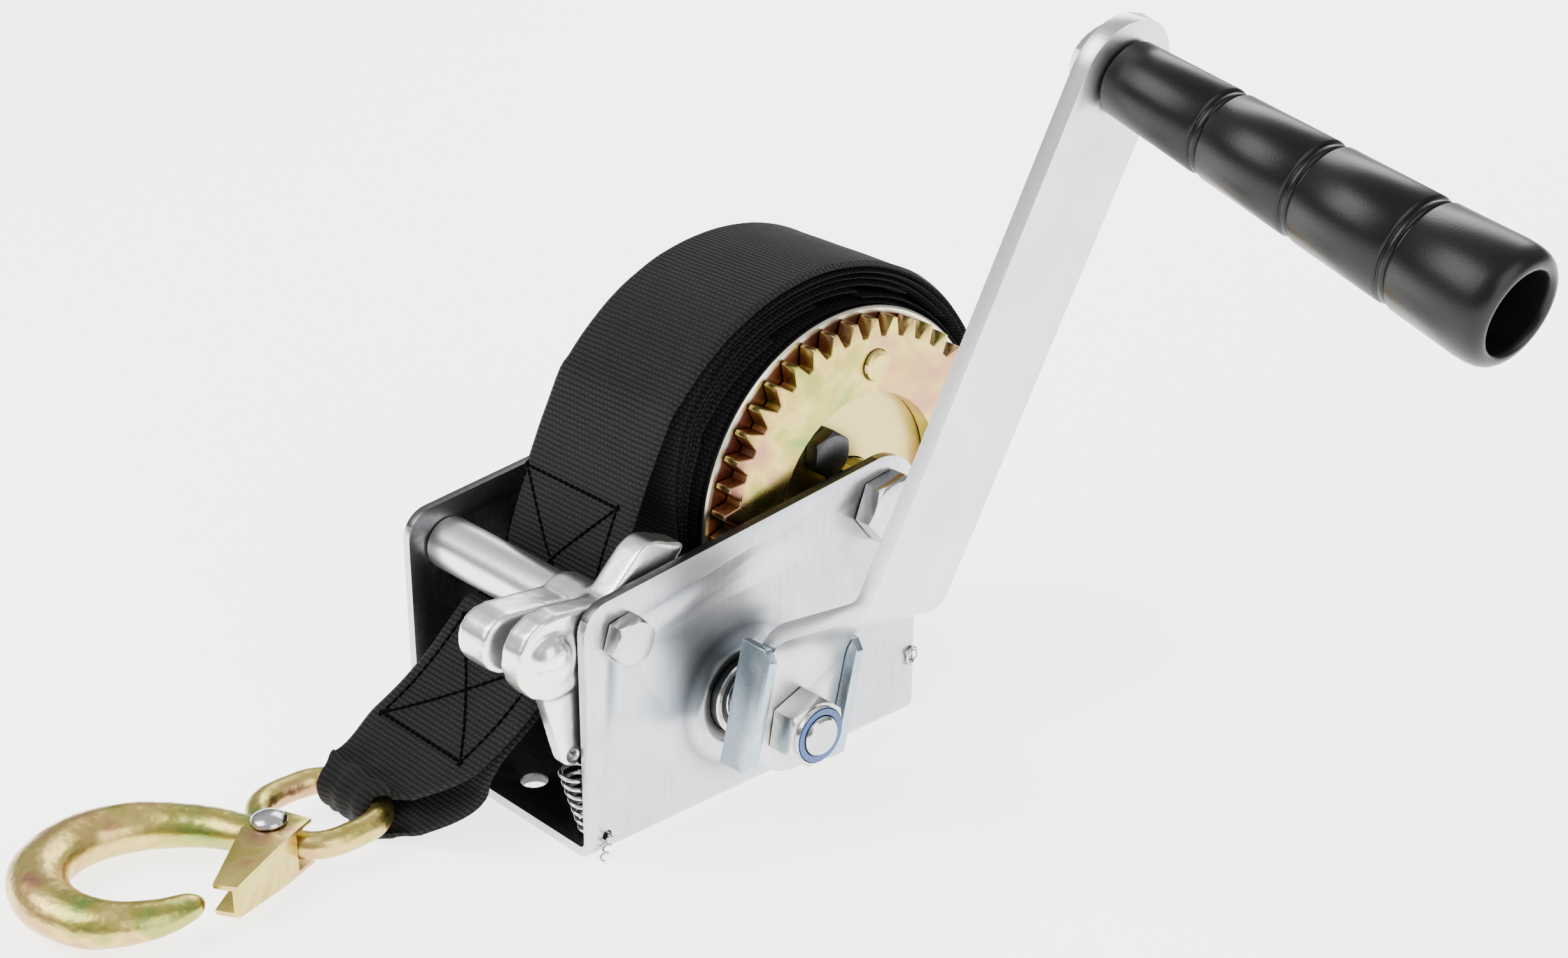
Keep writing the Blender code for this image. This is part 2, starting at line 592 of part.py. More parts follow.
def make_shaft_ring():
    """A split ring that keeps the shaft from sliding out of the left plate."""
    x1 = WASHER_IN - WASHER - GAP
    opening = math.radians(50)
    outer = arc(SHAFT, SHAFT_RADIUS + 3.0, opening, TAU - opening, 28)
    inner = arc(SHAFT, SHAFT_RADIUS + RUN, TAU - opening, opening, 28)
    add("shaft_ring", prism(outer + inner, x1 - WASHER, x1), "dark_steel")


def make_yoke(origin, along, across):
    """The driving plate behind the crank, with an ear along each side of it."""
    inner = CRANK_WIDTH / 2 + YOKE_PLAY
    outer = inner + YOKE_PLATE
    plate_out = YOKE_IN + YOKE_PLATE

    def slab(v0, v1, s0, s1, x1, chamfer):
        section = [(s0, YOKE_IN), (s1, YOKE_IN), (s1, x1 - chamfer), (s1 - chamfer, x1)]
        section += [(s0 + chamfer, x1), (s0, x1 - chamfer)]
        points = [origin + along * s + Vector((x, 0, 0)) for s, x in section]
        return loft([[p + across * v for p in points] for v in (v0, v1)])

    yoke = add("drive_yoke", slab(-outer, outer, -12.0, 15.0, plate_out, 0.5), "zinc")
    for v0, v1 in ((inner, outer), (-outer, -inner)):
        join(yoke, slab(v0, v1, -13.0, 24.0, plate_out + YOKE_EAR, 3.0))
    cut(yoke, rod(YOKE_IN - 3, plate_out + 3, SHAFT_RADIUS + RUN, SHAFT, 24))
    smooth(yoke)


def tilted(bm, place):
    """Turns a body made about the X axis onto the grip's axis, its zero at the arm's outer face."""
    _along, across, _leaning, normal = crank_axes()
    basis = Matrix((normal, across.cross(normal), across)).transposed()
    matrix = Matrix.Translation(place) @ basis.to_4x4()
    bmesh.ops.transform(bm, matrix=matrix, verts=bm.verts)
    return bm


def grip_profile():
    """The sleeve's outside: four tapering barrels with double grooves, a flared rim and an open mouth."""
    bore = GRIP_BOLT_RADIUS + 0.5
    start = GRIP_START
    end = start + GRIP_LENGTH

    def radius(x):
        t = (x - start) / GRIP_LENGTH
        return GRIP_BASE_RADIUS + (GRIP_END_RADIUS - GRIP_BASE_RADIUS) * t

    points = [(start, bore), (start, radius(start) - 1.2), (start + 1.2, radius(start))]
    for k in range(1, GRIP_SEGMENTS):
        x = start + GRIP_LENGTH * k / GRIP_SEGMENTS + 2.0
        r = radius(x)
        floor = r - GRIP_GROOVE
        points += [(x - 1.8, r - 0.1), (x - 1.0, floor), (x + 1.0, floor), (x + 1.8, r - 0.1)]
    points += [(end - 7.0, radius(end)), (end - 2.5, radius(end) - 0.5), (end - 0.6, radius(end) - 1.8)]
    points += [(end, radius(end) - 3.2), (end - 0.8, radius(end) - 4.3)]
    points += [(end - GRIP_MOUTH, radius(end) - 5.2), (end - GRIP_MOUTH, bore)]
    return points


def make_grip():
    _start, hole = crank_joint()
    sleeve = tilted(turned(grip_profile(), (0, 0), 28, bore=True), hole)
    add("grip_sleeve", sleeve, "grip_plastic", smooth=True)
    head = GRIP_START + GRIP_LENGTH - GRIP_MOUTH + GAP
    seat = -CRANK_THICKNESS - GAP
    end = seat - GRIP_NUT - 2.2
    profile = [(end, GRIP_BOLT_RADIUS - 0.8), (end + 0.8, GRIP_BOLT_RADIUS)]
    profile += [(head, GRIP_BOLT_RADIUS), (head, 8.0), (head + 4.2, 8.0), (head + 5.0, 7.2)]
    add("grip_bolt", tilted(turned(profile, (0, 0), 24), hole), "zinc", smooth=True)
    flats = 2 * GRIP_BOLT_RADIUS + 6.0
    body = prism(hexagon(flats, (0, 0), 0.3), seat - GRIP_NUT, seat)
    nut = add("grip_bolt_nut", tilted(body, hole), "zinc")
    cone = [(seat - GRIP_NUT, flats / 2 - 0.3), (seat - GRIP_NUT + 1.2, flats / 2 + 1.6)]
    cone += [(seat + 1, flats / 2 + 1.8)]
    boolean(nut, add("cone", tilted(turned(cone, (0, 0), 24), hole), "zinc"), "INTERSECT")
    cut(nut, tilted(rod(seat - GRIP_NUT - 5, seat + 4, GRIP_BOLT_RADIUS + RUN, (0, 0), 28), hole))
    smooth(nut)


# --- Pawl ------------------------------------------------------------------------------------------
def make_pawl():
    """A cast two-way pawl: hub, front boss with a tail, front finger, rear thumb piece and tooth."""
    y, z = PIVOT
    hub0, hub1 = TUBE_END + GAP, INNER - GAP
    body0, body1 = hub1 - PAWL_THICKNESS, hub1 - 0.6
    disc = (y - 20.5, z - 1.0)
    pawl = add("pawl", rod(hub0, hub1, PAWL_HUB_RADIUS, PIVOT, 24, 0.8), "cast_zinc")
    join(pawl, prism(hull(PIVOT, PAWL_HUB_RADIUS - 0.3, disc, 12.6), body0, body1))
    join(pawl, turned([(body1 - 0.5, 8.6), (body1 - 0.01, 8.6), (hub1, 7.6)], disc, 24))
    tail = (y - 14.5, z - 34.0)
    join(pawl, prism(hull((disc[0] + 3.0, disc[1] - 4.0), 8.0, tail, 3.4), body0 + 1.0, body1 - 1.0))
    join(pawl, prism(hull((y - 3, z), 7.4, (y - 27.0, z + 1.0), 8.8), hub0 + 0.8, hub0 + PAWL_FINGER))
    join(pawl, prism(hull((y + 2, z + 3), 7.0, (y + 15.0, z + 14.5), 7.6), body0 - 2.0, body1 - 0.6))
    thumb = (y + 15.0, z + 14.5)
    tip = (thumb[0] + 10.5, thumb[1] + 2.5)
    join(pawl, prism(hull(thumb, 7.4, tip, 1.2), body0 - 1.6, body1 - 1.0))
    towards = math.atan2(SHAFT[1] - z, SHAFT[0] - y)
    reach = math.hypot(SHAFT[0] - y, SHAFT[1] - z) - PINION_TIP - PAWL_TOOTH_GAP - PAWL_TOOTH_TIP
    for turn in (-PAWL_TOOTH_ANGLE, PAWL_TOOTH_ANGLE):
        tooth = (y + reach * math.cos(towards + turn), z + reach * math.sin(towards + turn))
        join(pawl, prism(hull(PIVOT, 7.0, tooth, PAWL_TOOTH_TIP, 6), body0, body1 - 0.8))
    cut(pawl, rod(hub0 - 5, hub1 + 5, PIVOT_RADIUS + RUN, PIVOT, 28))
    cut(pawl, rod(body0 - 3, body1 + 3, 1.7, tail, 16))
    smooth(pawl)
    make_pawl_spring(tail, (body0 + body1) / 2)


def make_pawl_spring(tail, x):
    """A coil standing between the pawl's tail and the frame's front corner."""
    top, bottom = tail[1] - 5.0, PLATE + 1.4
    y0, y1 = tail[0], FRONT + 8.5
    segments, per_turn = 5, 9
    count = SPRING_TURNS * per_turn
    centre = []
    for i in range(count + 1):
        t = i / count
        a = TAU * SPRING_TURNS * t
        z = top + (bottom - top) * t
        y = y0 + (y1 - y0) * t
        centre.append(Vector((x + SPRING_RADIUS * math.cos(a), y + SPRING_RADIUS * math.sin(a), z)))
    add("pawl_spring", sweep(centre, [SPRING_WIRE] * len(centre), segments), "zinc", smooth=True)


def sweep(centre, radii, segments, flatten=1.0, up=None):
    """A tube along points; flatten squeezes it along the up direction."""
    rings = []
    side = None
    for i, p in enumerate(centre):
        a, b = centre[max(i - 1, 0)], centre[min(i + 1, len(centre) - 1)]
        d = (b - a).normalized()
        if up is not None:
            side = d.cross(up).normalized()
        elif side is None:
            side = d.orthogonal().normalized()
        else:
            side = (side - d * side.dot(d)).normalized()
        top = side.cross(d).normalized()
        wide, high = side * radii[i], top * (radii[i] * flatten)
        angles = [TAU * k / segments for k in range(segments)]
        rings.append([p + wide * math.cos(t) + high * math.sin(t) for t in angles])
    return loft(rings)


# --- Strap -----------------------------------------------------------------------------------------
def strap_route():
    """The strap's middle line in (y, z), from behind the coil over its top to the hook's eye."""
    loose = COIL_RADIUS + GAP + STRAP_THICKNESS / 2 + LOOSE_PLAY
    route = []
    for degrees in range(-40, 160, 8):
        t = (degrees + 40) / 200
        swell = LOOSE_SWELL * max(0.0, (t - 0.12) / 0.88) ** 1.5
        route.append(on_circle(loose + swell, math.radians(degrees)))
    return route


def make_strap_tail():
    """The loose outer turn, the run under the tube and the sewn loop, as one closed band."""
    route = strap_route()
    under = PAWL_HUB_RADIUS + STRAP_CLEARANCE + STRAP_THICKNESS / 2
    bend = arc(PIVOT, under, math.radians(-20), math.radians(-112), 8)
    wire = EYE_WIRE_END
    loop = EYE_WIRE + LOOP_PLAY
    line = route + [(PIVOT[0] + 12.5, PIVOT[1] + 8.0)] + bend
    near = Vector(bend[-1])
    end = Vector(wire) + Vector((0.35, 0.94)).normalized() * (loop + STRAP_THICKNESS / 2)
    line += [tuple(near.lerp(end, t)) for t in (0.3, 0.6, 1.0)]
    middle = catmull(line, 2)
    rings = []
    for (outer, inner), (y, z) in zip(offset_band(middle, STRAP_THICKNESS), middle):
        left, right = strap_edges(y)
        rings.append([(left, *outer), (right, *outer), (right, *inner), (left, *inner)])
    strap = add("strap_tail", loft(rings), "webbing")
    left, right = strap_edges(wire[0])
    join(strap, ring(left + 0.4, right - 0.4, loop + STRAP_THICKNESS, loop, wire, 28))


def strap_edges(y):
    """The strap's sides: it drifts left below the tube and is gathered into the hook's eye."""
    t = min(max((PIVOT[0] - y) / (PIVOT[0] - EYE_WIRE_END[0]), 0.0), 1.0)
    middle = EYE_CENTRE[0] * t**3
    g = min(max((t - 0.6) / 0.34, 0.0), 1.0)
    half = STRAP_WIDTH / 2 + (LOOP_WIDTH - STRAP_WIDTH) / 2 * g * g * (3 - 2 * g)
    return middle - half, middle + half


def catmull(points, steps):
    """A smooth line through points."""
    p = [np.array(q, float) for q in points]
    p = [2 * p[0] - p[1]] + p + [2 * p[-1] - p[-2]]
    line = []
    for i in range(1, len(p) - 2):
        for k in range(steps):
            t = k / steps
            a, b, c, d = p[i - 1], p[i], p[i + 1], p[i + 2]
            bend, twist = 2 * a - 5 * b + 4 * c - d, 3 * b - a - 3 * c + d
            q = b + 0.5 * ((c - a) * t + bend * t**2 + twist * t**3)
            line.append((float(q[0]), float(q[1])))
    line.append((float(p[-2][0]), float(p[-2][1])))
    return line


def offset_band(line, thickness):
    """Both faces of a band of that thickness about a 2-D line."""
    faces = []
    for i in range(len(line)):
        a, b = Vector(line[max(i - 1, 0)]), Vector(line[min(i + 1, len(line) - 1)])
        d = (b - a).normalized()
        normal = Vector((-d.y, d.x)) * (thickness / 2)
        here = Vector(line[i])
        faces.append((tuple(here + normal), tuple(here - normal)))
    return faces


# --- Hook ------------------------------------------------------------------------------------------
def make_hook():
    """A forged hook that lies flat: an eye ring, a curved body and a spring latch on a rivet."""
    line = catmull([(EYE_CENTRE[0] + x, EYE_CENTRE[1] + y) for x, y in HOOK_LINE], 2)
    along = np.linspace(0, len(HOOK_WIDTHS) - 1, len(line))
    radii = list(np.interp(along, np.arange(len(HOOK_WIDTHS)), HOOK_WIDTHS))
    centre = [Vector((x, y, HOOK_HEIGHT)) for x, y in line]
    up = Vector((0, 0, 1))
    rings = []
    for i in range(EYE_STEPS):
        p, ahead = eye_point(TAU * i / EYE_STEPS), eye_point(TAU * (i + 0.5) / EYE_STEPS)
        out = (ahead - p).normalized().cross(up)
        angles = [TAU * k / 10 for k in range(10)]
        rings.append([p + out * (EYE_WIRE * math.cos(a)) + up * (EYE_WIRE * math.sin(a)) for a in angles])
    hook = add("hook_body", loft(rings, closed=True), "yellow_zinc")
    join(hook, sweep(centre, radii, 10, HOOK_FLATTEN, up))
    cut(hook, post(HOOK_RIVET[0], HOOK_RIVET[1], 2.8, -5, 40, 20))
    smooth(hook)
    make_latch()


def eye_point(angle):
    """The eye's wire follows a rounded oblong."""
    c, sn = math.cos(angle), math.sin(angle)
    x = EYE_HALF_WIDTH * math.copysign(abs(c) ** 0.72, c)
    y = EYE_HALF_LENGTH * math.copysign(abs(sn) ** 0.72, sn)
    return Vector((EYE_CENTRE[0] + x, EYE_CENTRE[1] + y, HOOK_HEIGHT))


def make_latch():
    """A folded sheet cover from the rivet to the hook's tip, and the rivet through both."""
    pivot = Vector((*HOOK_RIVET, 0.0))
    tip = Vector((*HOOK_TIP, 0.0))
    d = (tip - pivot).normalized()
    side = Vector((-d.y, d.x, 0.0))
    top = HOOK_HEIGHT + LATCH_HALF_HEIGHT
    bottom = HOOK_HEIGHT - LATCH_HALF_HEIGHT
    length = (tip - pivot).length
    rings = []
    for s, edge, half in ((-6.5, -5.0, LATCH_HALF_HEIGHT), (6.0, -5.0, LATCH_HALF_HEIGHT),
                          (length, 3.0, LATCH_END_HALF)):
        far = 8.0 + LATCH_SHEET
        outside = half + LATCH_SHEET
        section = [(edge, outside), (far, outside), (far, -outside), (edge, -outside), (edge, -half),
                   (far - LATCH_SHEET, -half), (far - LATCH_SHEET, half), (edge, half)]
        rings.append([pivot + d * s + side * v + Vector((0, 0, HOOK_HEIGHT + z)) for v, z in section])
    latch = add("hook_latch", loft(rings), "yellow_zinc")
    corner = Vector((HOOK_TIP[0] - HOOK_WIDTHS[-1], HOOK_TIP[1], 0.0))
    swing = (corner - pivot).length - LATCH_GAP
    boolean(latch, add("swing", post(*HOOK_RIVET, swing, -5, 40, 48), "yellow_zinc"), "INTERSECT")
    cut(latch, post(*HOOK_RIVET, 2.8, -5, 40, 20))
    cut(latch, post(*EYE_CENTRE, EYE_HALF_WIDTH + EYE_WIRE + 0.8, bottom - 0.2, top + 0.2, 48))
    low, high = bottom - LATCH_SHEET + 0.1, top + LATCH_SHEET + GAP
    heads = [(2.5, low), (2.5, high), (5.2, high), (4.6, high + 1.6), (2.6, high + 2.6)]
    angles = [TAU * i / 24 for i in range(24)]
    rings = [[(HOOK_RIVET[0] + r * math.cos(a), HOOK_RIVET[1] + r * math.sin(a), z) for a in angles]
             for r, z in heads]
    add("hook_rivet", loft(rings), "zinc", smooth=True)


# --- Pivots ----------------------------------------------------------------------------------------
def set_origins():
    """Puts each moving piece's own origin on its joint's axis, without moving the piece."""
    pivots = {
        "drum_": (0.0, *AXLE), "strap_anchor": (0.0, *AXLE), "strap_coil": (0.0, *AXLE),
        "drive_": (0.0, *SHAFT), "pinion": (0.0, *SHAFT), "crank_": (0.0, *SHAFT),
        "shaft_collar": (0.0, *SHAFT), "shaft_washer": (0.0, *SHAFT), "shaft_ring": (0.0, *SHAFT),
        "yoke_spacer": (0.0, *SHAFT), "grip_": crank_joint()[1], "pawl": (0.0, *PIVOT),
        "hook_body": (EYE_CENTRE[0], *EYE_WIRE_END), "hook_rivet": (EYE_CENTRE[0], *EYE_WIRE_END),
        "hook_latch": (*HOOK_RIVET, HOOK_HEIGHT),
    }
    for obj in bpy.data.objects:
        for start, place in pivots.items():
            if obj.name.startswith(start):
                obj.data.transform(Matrix.Translation(-Vector(place) * MM))
                obj.location = Vector(place) * MM
                break


clear_scene()
make_frame()
make_fixed_hardware()
make_drum()
make_crank()
make_grip()
make_pawl()
make_strap_tail()
make_hook()
set_origins()
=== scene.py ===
import json
import math

import bmesh
import bpy
from mathutils import Matrix, Vector, noise


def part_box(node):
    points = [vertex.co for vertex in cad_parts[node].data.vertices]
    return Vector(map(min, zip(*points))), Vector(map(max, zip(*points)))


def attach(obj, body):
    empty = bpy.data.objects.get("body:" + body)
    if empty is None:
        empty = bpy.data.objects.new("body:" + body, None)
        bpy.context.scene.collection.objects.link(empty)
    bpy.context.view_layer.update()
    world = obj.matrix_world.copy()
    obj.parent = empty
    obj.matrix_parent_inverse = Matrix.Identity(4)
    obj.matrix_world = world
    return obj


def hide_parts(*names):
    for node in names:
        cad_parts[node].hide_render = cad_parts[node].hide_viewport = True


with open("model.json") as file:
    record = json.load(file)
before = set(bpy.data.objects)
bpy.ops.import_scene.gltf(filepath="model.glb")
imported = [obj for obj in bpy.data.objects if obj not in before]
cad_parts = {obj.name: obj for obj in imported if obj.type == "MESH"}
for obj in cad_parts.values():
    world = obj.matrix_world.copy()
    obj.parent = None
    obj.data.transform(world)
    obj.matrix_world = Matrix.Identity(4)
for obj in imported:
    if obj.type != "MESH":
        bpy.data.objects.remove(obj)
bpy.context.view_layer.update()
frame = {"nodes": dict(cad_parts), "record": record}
record = frame["record"]
nodes = frame["nodes"]
bodyOf = {node: body for body, names in record["behaviour"]["bodies"].items() for node in names}
slotOf = {part["node"]: part["material_slot"] for part in record["subparts"]}
jointOf = {joint["name"]: joint for joint in record["behaviour"]["joints"]}
mm = 0.001
turn = 2 * math.pi


def centreOf(node):
    low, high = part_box(node)
    return (Vector(low) + Vector(high)) / 2


axle = centreOf("drum_barrel")
shaft = centreOf("shaft_washer")
pivot = centreOf("front_tube")
wire = Vector(jointOf["hook_swing"]["pos_m"])      # the eye's near end, which the strap loops round
gripPlace = Vector(jointOf["grip_spin"]["pos_m"])
gripAxis = Vector(jointOf["grip_spin"]["axis"]).normalized()


def addNode(tree, kind, inputs=None, **values):
    node = tree.nodes.new(kind)
    for key, value in values.items():
        setattr(node, key, value)
    for key, value in (inputs or {}).items():
        if isinstance(value, bpy.types.NodeSocket):
            tree.links.new(value, node.inputs[key])
        else:
            node.inputs[key].default_value = value
    return node


def calc(tree, operation, a, b=0.0):
    return addNode(tree, "ShaderNodeMath", {0: a, 1: b}, operation=operation).outputs[0]


def startMaterial(name, colour, roughness, metallic=0.0):
    mat = bpy.data.materials.new(name)
    mat.use_nodes = True
    shader = mat.node_tree.nodes["Principled BSDF"]
    shader.inputs["Base Color"].default_value = (*colour, 1)
    shader.inputs["Roughness"].default_value = roughness
    shader.inputs["Metallic"].default_value = metallic
    return mat, mat.node_tree, shader


def stretched(tree, scale):
    coords = addNode(tree, "ShaderNodeTexCoord")
    mapping = addNode(tree, "ShaderNodeMapping", {"Vector": coords.outputs["Object"], "Scale": scale})
    return mapping.outputs["Vector"]


def noiseAt(tree, vector, scale, detail=3.0, distortion=0.0):
    cloud = addNode(tree, "ShaderNodeTexNoise", {"Vector": vector, "Scale": scale, "Detail": detail,
                                                 "Distortion": distortion})
    return cloud.outputs["Fac"]


def radiusFrom(tree, centre):
    # Distance from the line along X through centre
    split = addNode(tree, "ShaderNodeSeparateXYZ", {0: stretched(tree, (1, 1, 1))})
    y = calc(tree, "SUBTRACT", split.outputs[1], centre.y)
    z = calc(tree, "SUBTRACT", split.outputs[2], centre.z)
    return calc(tree, "SQRT", calc(tree, "ADD", calc(tree, "MULTIPLY", y, y), calc(tree, "MULTIPLY", z, z)))


def ramp(tree, factor, stops):
    colours = addNode(tree, "ShaderNodeValToRGB", {"Fac": factor})
    elements = colours.color_ramp.elements
    while len(elements) < len(stops):
        elements.new(0.5)
    for element, (place, colour) in zip(elements, stops):
        element.position = place
        element.color = (*colour, 1)
    return colours.outputs["Color"]


def remap(tree, value, low, high):
    return addNode(tree, "ShaderNodeMapRange", {"Value": value, "To Min": low, "To Max": high}).outputs[0]


def bump(tree, shader, height, distance):
    relief = addNode(tree, "ShaderNodeBump", {"Height": height, "Distance": distance})
    tree.links.new(relief.outputs["Normal"], shader.inputs["Normal"])


def plated(name, colour, dull, roughness, grain, scale, relief, fine):
    # Plated or cast metal: cloudy colour, uneven shine and a fine grain drawn along one direction
    mat, tree, shader = startMaterial(name, colour, roughness, 1.0)
    plain = stretched(tree, (1, 1, 1))
    clouds = noiseAt(tree, plain, 38.0, 4.0, 0.4)
    drawn = noiseAt(tree, stretched(tree, scale), fine, 4.0)
    both = calc(tree, "ADD", calc(tree, "MULTIPLY", clouds, 0.65), calc(tree, "MULTIPLY", drawn, 0.35))
    tree.links.new(ramp(tree, both, [(0.3, dull), (0.62, colour)]), shader.inputs["Base Color"])
    tree.links.new(remap(tree, both, roughness + grain, roughness - grain), shader.inputs["Roughness"])
    bump(tree, shader, drawn, relief)
    return mat


def passivated(name, roughness, relief, fine):
    # Yellow zinc: gold with pink and green clouds
    mat, tree, shader = startMaterial(name, (0.8, 0.66, 0.34), roughness, 1.0)
    plain = stretched(tree, (1, 1, 1))
    clouds = noiseAt(tree, plain, 30.0, 2.5, 1.2)
    stops = [(0.32, (0.20, 0.30, 0.07)), (0.43, (0.42, 0.35, 0.08)), (0.50, (0.56, 0.45, 0.13)),
             (0.57, (0.50, 0.32, 0.12)), (0.67, (0.40, 0.19, 0.14))]
    tree.links.new(ramp(tree, clouds, stops), shader.inputs["Base Color"])
    pits = noiseAt(tree, plain, fine, 5.0)
    tree.links.new(remap(tree, pits, roughness + 0.14, roughness - 0.08), shader.inputs["Roughness"])
    bump(tree, shader, pits, relief)
    return mat


def makeWebbing(name):
    # Black ribbed webbing. The UV map holds metres across and along the cloth
    mat, tree, shader = startMaterial(name, (0.012, 0.012, 0.013), 0.8)
    shader.inputs["Specular IOR Level"].default_value = 0.14
    flat = addNode(tree, "ShaderNodeUVMap", uv_map="cloth").outputs[0]
    split = addNode(tree, "ShaderNodeSeparateXYZ", {0: flat})
    across, along = split.outputs[0], split.outputs[1]
    wander = calc(tree, "MULTIPLY", calc(tree, "SUBTRACT", noiseAt(tree, flat, 90.0), 0.5), 0.0006)
    rib = calc(tree, "DIVIDE", calc(tree, "ADD", along, wander), weave["ribPitch"])
    hump = calc(tree, "ABSOLUTE", calc(tree, "SINE", calc(tree, "MULTIPLY", rib, math.pi)))
    row = calc(tree, "FLOOR", rib)
    column = calc(tree, "DIVIDE", across, weave["yarnPitch"])
    shifted = calc(tree, "ADD", column, calc(tree, "MULTIPLY", row, 0.5))
    yarn = calc(tree, "ABSOLUTE", calc(tree, "SINE", calc(tree, "MULTIPLY", shifted, math.pi)))
    cloth = calc(tree, "MULTIPLY", hump, calc(tree, "ADD", calc(tree, "MULTIPLY", yarn, 0.55), 0.45))
    fibre = noiseAt(tree, flat, 4200.0, 2.0)
    height = calc(tree, "ADD", calc(tree, "MULTIPLY", cloth, 0.8), calc(tree, "MULTIPLY", fibre, 0.2))
    worn = noiseAt(tree, flat, 26.0, 3.0)
    # painted shade: the weave's valleys get a darker colour, mixed with random wear
    shade = calc(tree, "ADD", calc(tree, "MULTIPLY", height, 0.8), calc(tree, "MULTIPLY", worn, 0.35))
    colours = ramp(tree, shade, [(0.2, weave["dark"]), (0.95, weave["light"])])
    tree.links.new(colours, shader.inputs["Base Color"])
    bump(tree, shader, height, weave["relief"])
    return mat


weave = {"ribPitch": 0.0015, "yarnPitch": 0.0017, "relief": 0.00042, "dark": (0.0008, 0.0008, 0.0008),
         "light": (0.017, 0.017, 0.018)}
# bright colour, dull colour, roughness, its spread, stretch of the grain, its relief and its scale
metals = {
    "zincPlate": ((0.52, 0.53, 0.55), (0.37, 0.38, 0.40), 0.30, 0.08, (0.1, 1, 0.12), 0.000008, 700.0),
    # the next row is a darker zinc used as painted shade inside the channel
    "zincPaintedShade": ((0.13, 0.13, 0.135), (0.06, 0.06, 0.065), 0.34, 0.08, (0.1, 1, 1), 0.000008, 700.0),
    "brightZinc": ((0.60, 0.60, 0.60), (0.48, 0.48, 0.485), 0.34, 0.08, (1, 1, 1), 0.00003, 1300.0),
    "castZinc": ((0.80, 0.80, 0.80), (0.66, 0.66, 0.67), 0.29, 0.06, (1, 1, 1), 0.00004, 500.0),
    "blueZinc": ((0.40, 0.47, 0.52), (0.25, 0.31, 0.36), 0.26, 0.08, (1, 0.2, 1), 0.00001, 900.0),
    "polishedZinc": ((0.56, 0.56, 0.55), (0.38, 0.38, 0.37), 0.2, 0.06, (1, 1, 1), 0.00001, 600.0),
    "darkSteel": ((0.10, 0.10, 0.105), (0.05, 0.05, 0.052), 0.4, 0.08, (1, 1, 1), 0.00002, 900.0),
}
zinc, paintedShadeZinc, brightZinc, castZinc, blueZinc, polished, darkSteel = (
    plated(name, *values) for name, values in metals.items())
yellowZinc = passivated("yellowZinc", 0.27, 0.000015, 1500.0)
forged = passivated("forgedYellowZinc", 0.3, 0.00016, 420.0)
nylon = startMaterial("nylon", (0.015, 0.06, 0.19), 0.4)[0]
rubber = startMaterial("bearingSeal", (0.03, 0.03, 0.032), 0.5)[0]
webbing = makeWebbing("webbing")
thread, _, threadShader = startMaterial("thread", (0.0004, 0.0004, 0.0004), 0.8)
threadShader.inputs["Specular IOR Level"].default_value = 0.03
bySlot = {"zinc_plate": polished, "bright_zinc": brightZinc, "yellow_zinc": yellowZinc,
          "dark_steel": darkSteel, "webbing": webbing, "nylon": nylon}
print("materials made")


def makePlastic():
    mat, tree, shader = startMaterial("gripPlastic", (0.002, 0.002, 0.002), 0.36)
    shader.inputs["Specular IOR Level"].default_value = 0.22
    grain = noiseAt(tree, stretched(tree, (1, 1, 1)), 1600.0, 3.0)
    clouds = noiseAt(tree, stretched(tree, (1, 1, 1)), 60.0, 3.0)
    tree.links.new(remap(tree, clouds, 0.27, 0.42), shader.inputs["Roughness"])
    bump(tree, shader, grain, 0.00003)
    return mat


plastic = makePlastic()


def newPiece(name, verts, faces, mat, smooth=40, uv=None):
    mesh = bpy.data.meshes.new(name)
    mesh.from_pydata([tuple(v) for v in verts], [], faces)
    mesh.materials.append(mat)
    if uv:
        layer = mesh.uv_layers.new(name="cloth")
        for loop in mesh.loops:
            layer.data[loop.index].uv = uv[loop.vertex_index]
    mesh.validate()
    mesh.shade_smooth()
    mesh.set_sharp_from_angle(angle=math.radians(smooth))
    piece = bpy.data.objects.new(name, mesh)
    bpy.context.scene.collection.objects.link(piece)
    return piece


def outwards(piece):
    bm = bmesh.new()
    bm.from_mesh(piece.data)
    bmesh.ops.recalc_face_normals(bm, faces=bm.faces)
    bm.to_mesh(piece.data)
    bm.free()


def settle(piece):
    # Turns a piece's modifiers into its plain mesh
    graph = bpy.context.evaluated_depsgraph_get()
    mesh = bpy.data.meshes.new_from_object(piece.evaluated_get(graph))
    piece.modifiers.clear()
    piece.data = mesh
    return piece


def place(piece, body, *replaced, slot=None):
    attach(piece, body)
    if replaced:
        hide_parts(*replaced)
    return piece


def lathe(name, profile, origin, axis, mat, segments=64, loop=True, smooth=35):
    # Turns (distance along the axis, radius) points, in mm, about an axis; loop joins the last to the first
    axis = Vector(axis).normalized()
    side = axis.orthogonal().normalized()
    other = axis.cross(side)
    verts, faces = [], []
    for along, radius in profile:
        for k in range(segments):
            a = turn * k / segments
            out = side * math.cos(a) + other * math.sin(a)
            verts.append(Vector(origin) + (axis * along + out * radius) * mm)
    rings = len(profile)
    for i in range(rings if loop else rings - 1):
        j = (i + 1) % rings
        for k in range(segments):
            n = (k + 1) % segments
            faces.append((i * segments + k, i * segments + n, j * segments + n, j * segments + k))
    if not loop:
        faces.append(tuple(reversed(range(segments))))
        faces.append(tuple((rings - 1) * segments + k for k in range(segments)))
    piece = newPiece(name, verts, faces, mat, smooth)
    outwards(piece)
    return piece


